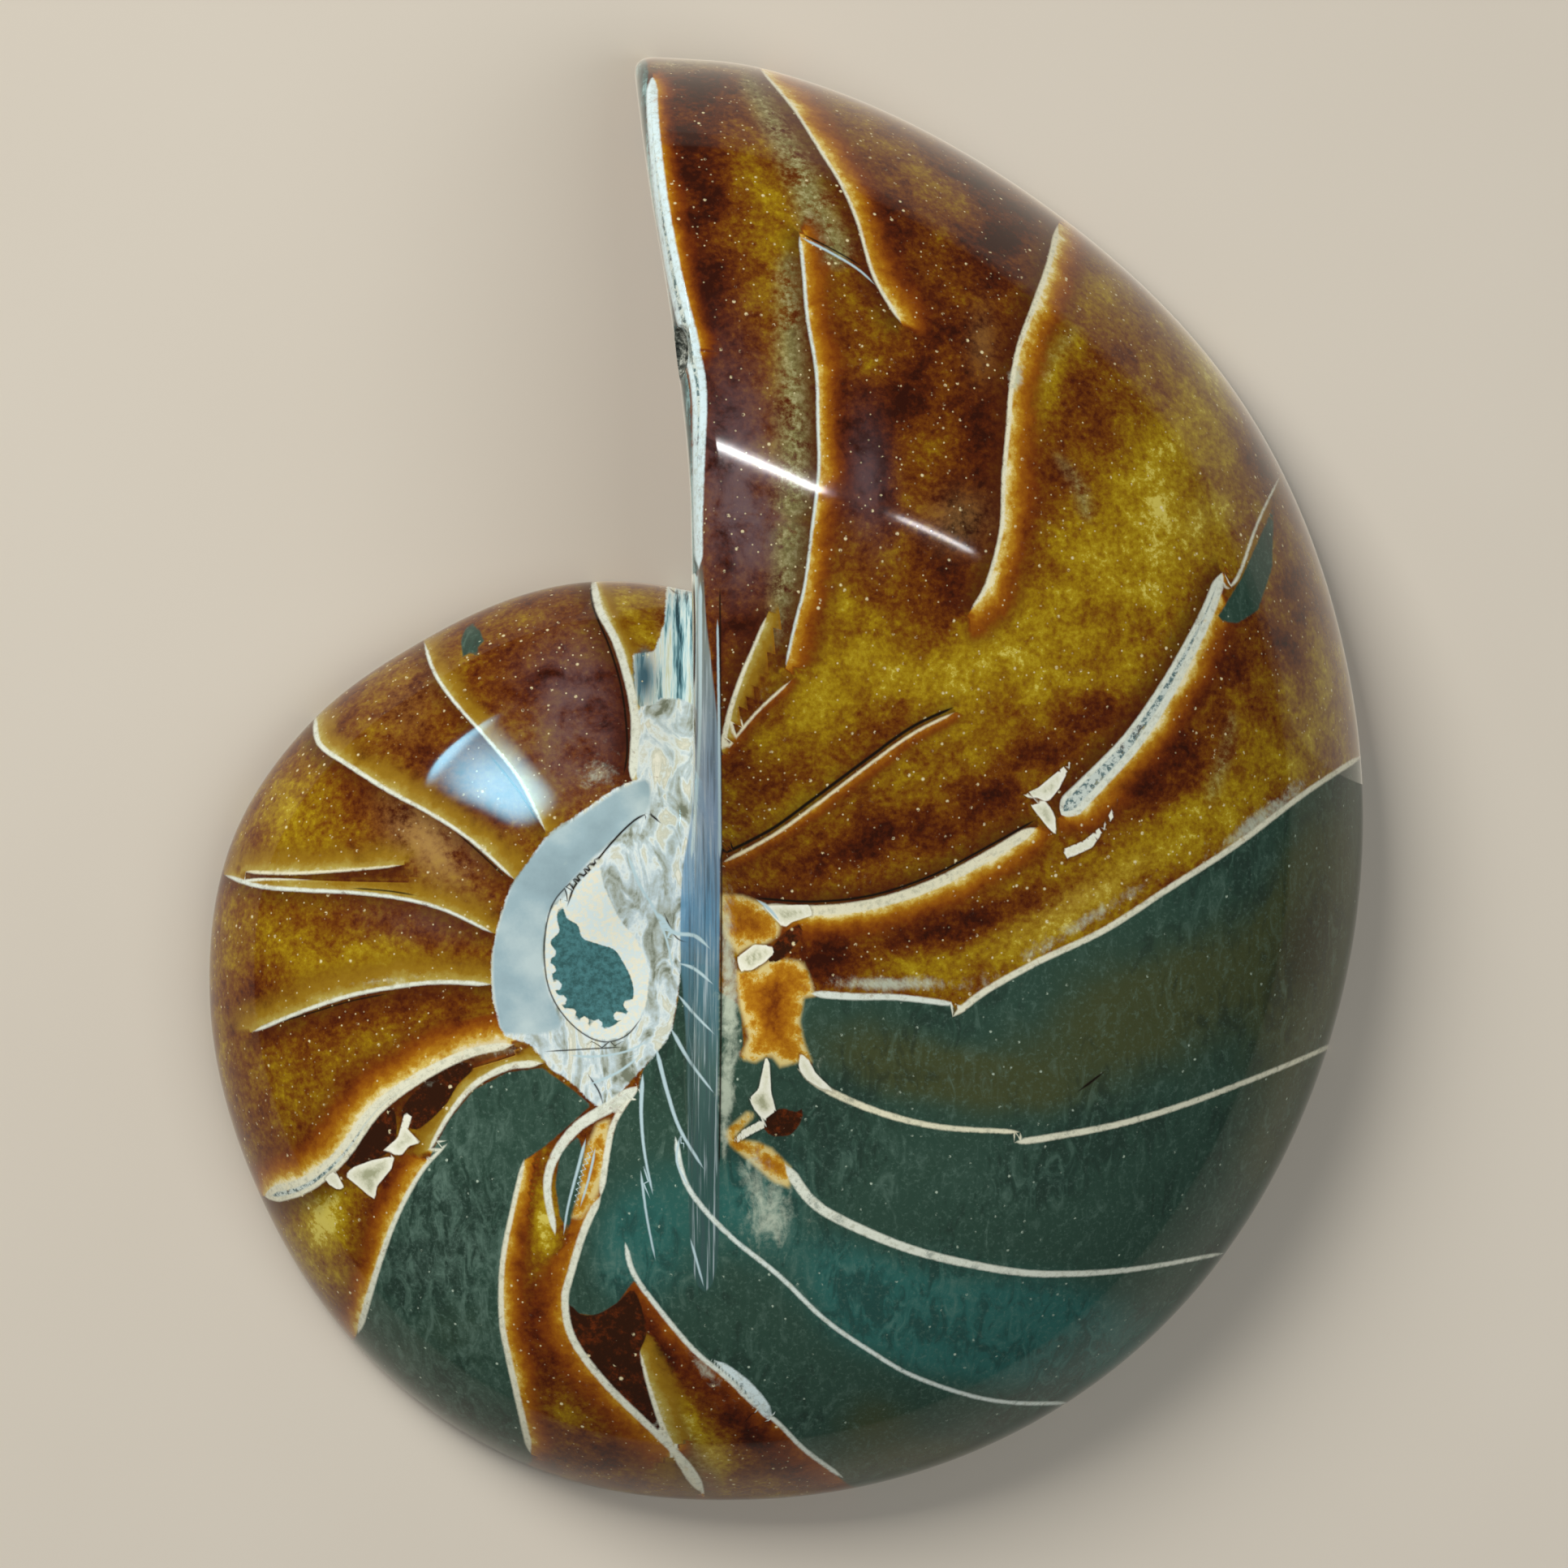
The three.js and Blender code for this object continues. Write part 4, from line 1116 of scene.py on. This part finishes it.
def stone_piece():
    points, depths, flank, ground, rim = skin()
    mesh = bpy.data.meshes.new("polished_half")
    mesh.from_pydata((points * INSIDE_BOX * MM).tolist(), [], [*flank.tolist(), *ground.tolist(), rim])
    mesh.polygons.foreach_set("material_index", [0] * len(flank) + [1] * len(ground) + [2])
    for name, values in {**marking_values(points), **depths}.items():
        mesh.attributes.new(name, "FLOAT", "POINT").data.foreach_set("value", values.astype(np.float32))
    for material in (flank_finish(), mouth_finish(), sawn_finish()):
        mesh.materials.append(material)
    work = bmesh.new()
    work.from_mesh(mesh)
    bmesh.ops.remove_doubles(work, verts=work.verts, dist=WELD)
    bmesh.ops.dissolve_degenerate(work, edges=work.edges, dist=1e-7)
    work.to_mesh(mesh)
    work.free()
    mesh.shade_smooth()
    mesh.set_sharp_from_angle(angle=math.radians(SHARP_FOLD))
    piece = bpy.data.objects.new("polished_half", mesh)
    bpy.context.scene.collection.objects.link(piece)
    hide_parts("fossil_half")
    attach(piece, "root")


def floor():
    half = 2.0
    mesh = bpy.data.meshes.new("floor")
    mesh.from_pydata([(-half, -half, 0), (half, -half, 0), (half, half, 0), (-half, half, 0)], [],
                     [(0, 1, 2, 3)])
    mesh.materials.append(floor_finish())
    piece = bpy.data.objects.new("floor", mesh)
    piece.location.z = -0.0002
    bpy.context.scene.collection.objects.link(piece)


def soft_light(name, place, size, power, colour=(1, 1, 1), mirrored=False, lies_along=(1, 0, 0),
               aim=(EYE[0], EYE[1], 20), shape="RECTANGLE"):
    """A lamp that either lights the stone or shows as a reflection in its polish."""
    light = bpy.data.lights.new(name, "AREA")
    light.shape = shape
    light.size, light.size_y = (s * MM for s in size)
    light.energy = power
    light.color = colour
    piece = bpy.data.objects.new(name, light)
    back = (Vector(place) - Vector(aim)).normalized()
    right = (Vector(lies_along) - Vector(lies_along).dot(back) * back).normalized()
    turned = Matrix((right, back.cross(right), back)).transposed().to_4x4()
    piece.matrix_world = Matrix.Translation(Vector(place) * MM) @ turned
    piece.visible_camera = False
    piece.visible_glossy = mirrored
    piece.visible_diffuse = not mirrored
    bpy.context.scene.collection.objects.link(piece)


def studio():
    soft_light("key_panel", (-420, 480, 620), (420, 420), 8.0, (1.0, 0.985, 0.96))
    soft_light("fill_panel", (380, -200, 700), (500, 500), 2.5, (0.96, 0.98, 1.0))
    soft_light("long_glint", (237, 262, 630), (104, 4), 0.24, mirrored=True, lies_along=(70, -66, 0))
    soft_light("short_glint", (349, 203, 630), (56, 4), 0.05, mirrored=True, lies_along=(50, -14, 0))
    glows = [(184, 100, 0.136), (170, 90, 0.189), (156, 80, 0.216), (140, 70, 0.193), (122, 59, 0.142),
             (102, 47, 0.071), (80, 36, 0.028)]
    for nearer, (*size, power) in enumerate(glows):
        soft_light("window_glow", (-288 - 2 * nearer, 560 + 1.3 * nearer, 630 - 4 * nearer), size, power,
                   (0.36, 0.78, 1.0), mirrored=True, lies_along=(15, 99, 0), shape="ELLIPSE")
    soft_light("floor_shine", (78, 112, 1), (190, 190), 0.038, (1.0, 0.9, 0.74), mirrored=True,
               lies_along=(1, 0.16, 0), aim=(78, 112, 20))
    world = bpy.data.worlds.new("studio")
    world.use_nodes = True
    room = world.node_tree.nodes["Background"].inputs
    room["Color"].default_value = (0.85, 0.87, 0.90, 1)
    room["Strength"].default_value = 0.12
    bpy.context.scene.world = world
    bpy.context.scene.view_settings.view_transform = "Standard"


def camera():
    lens = bpy.data.cameras.new("eye")
    lens.sensor_width = SENSOR_WIDTH
    lens.lens = SENSOR_WIDTH * EYE[2] / FRAME_WIDTH
    piece = bpy.data.objects.new("eye", lens)
    piece.location = Vector(EYE) * MM
    bpy.context.scene.collection.objects.link(piece)
    bpy.context.scene.camera = piece


stone_piece()
floor()
studio()
camera()
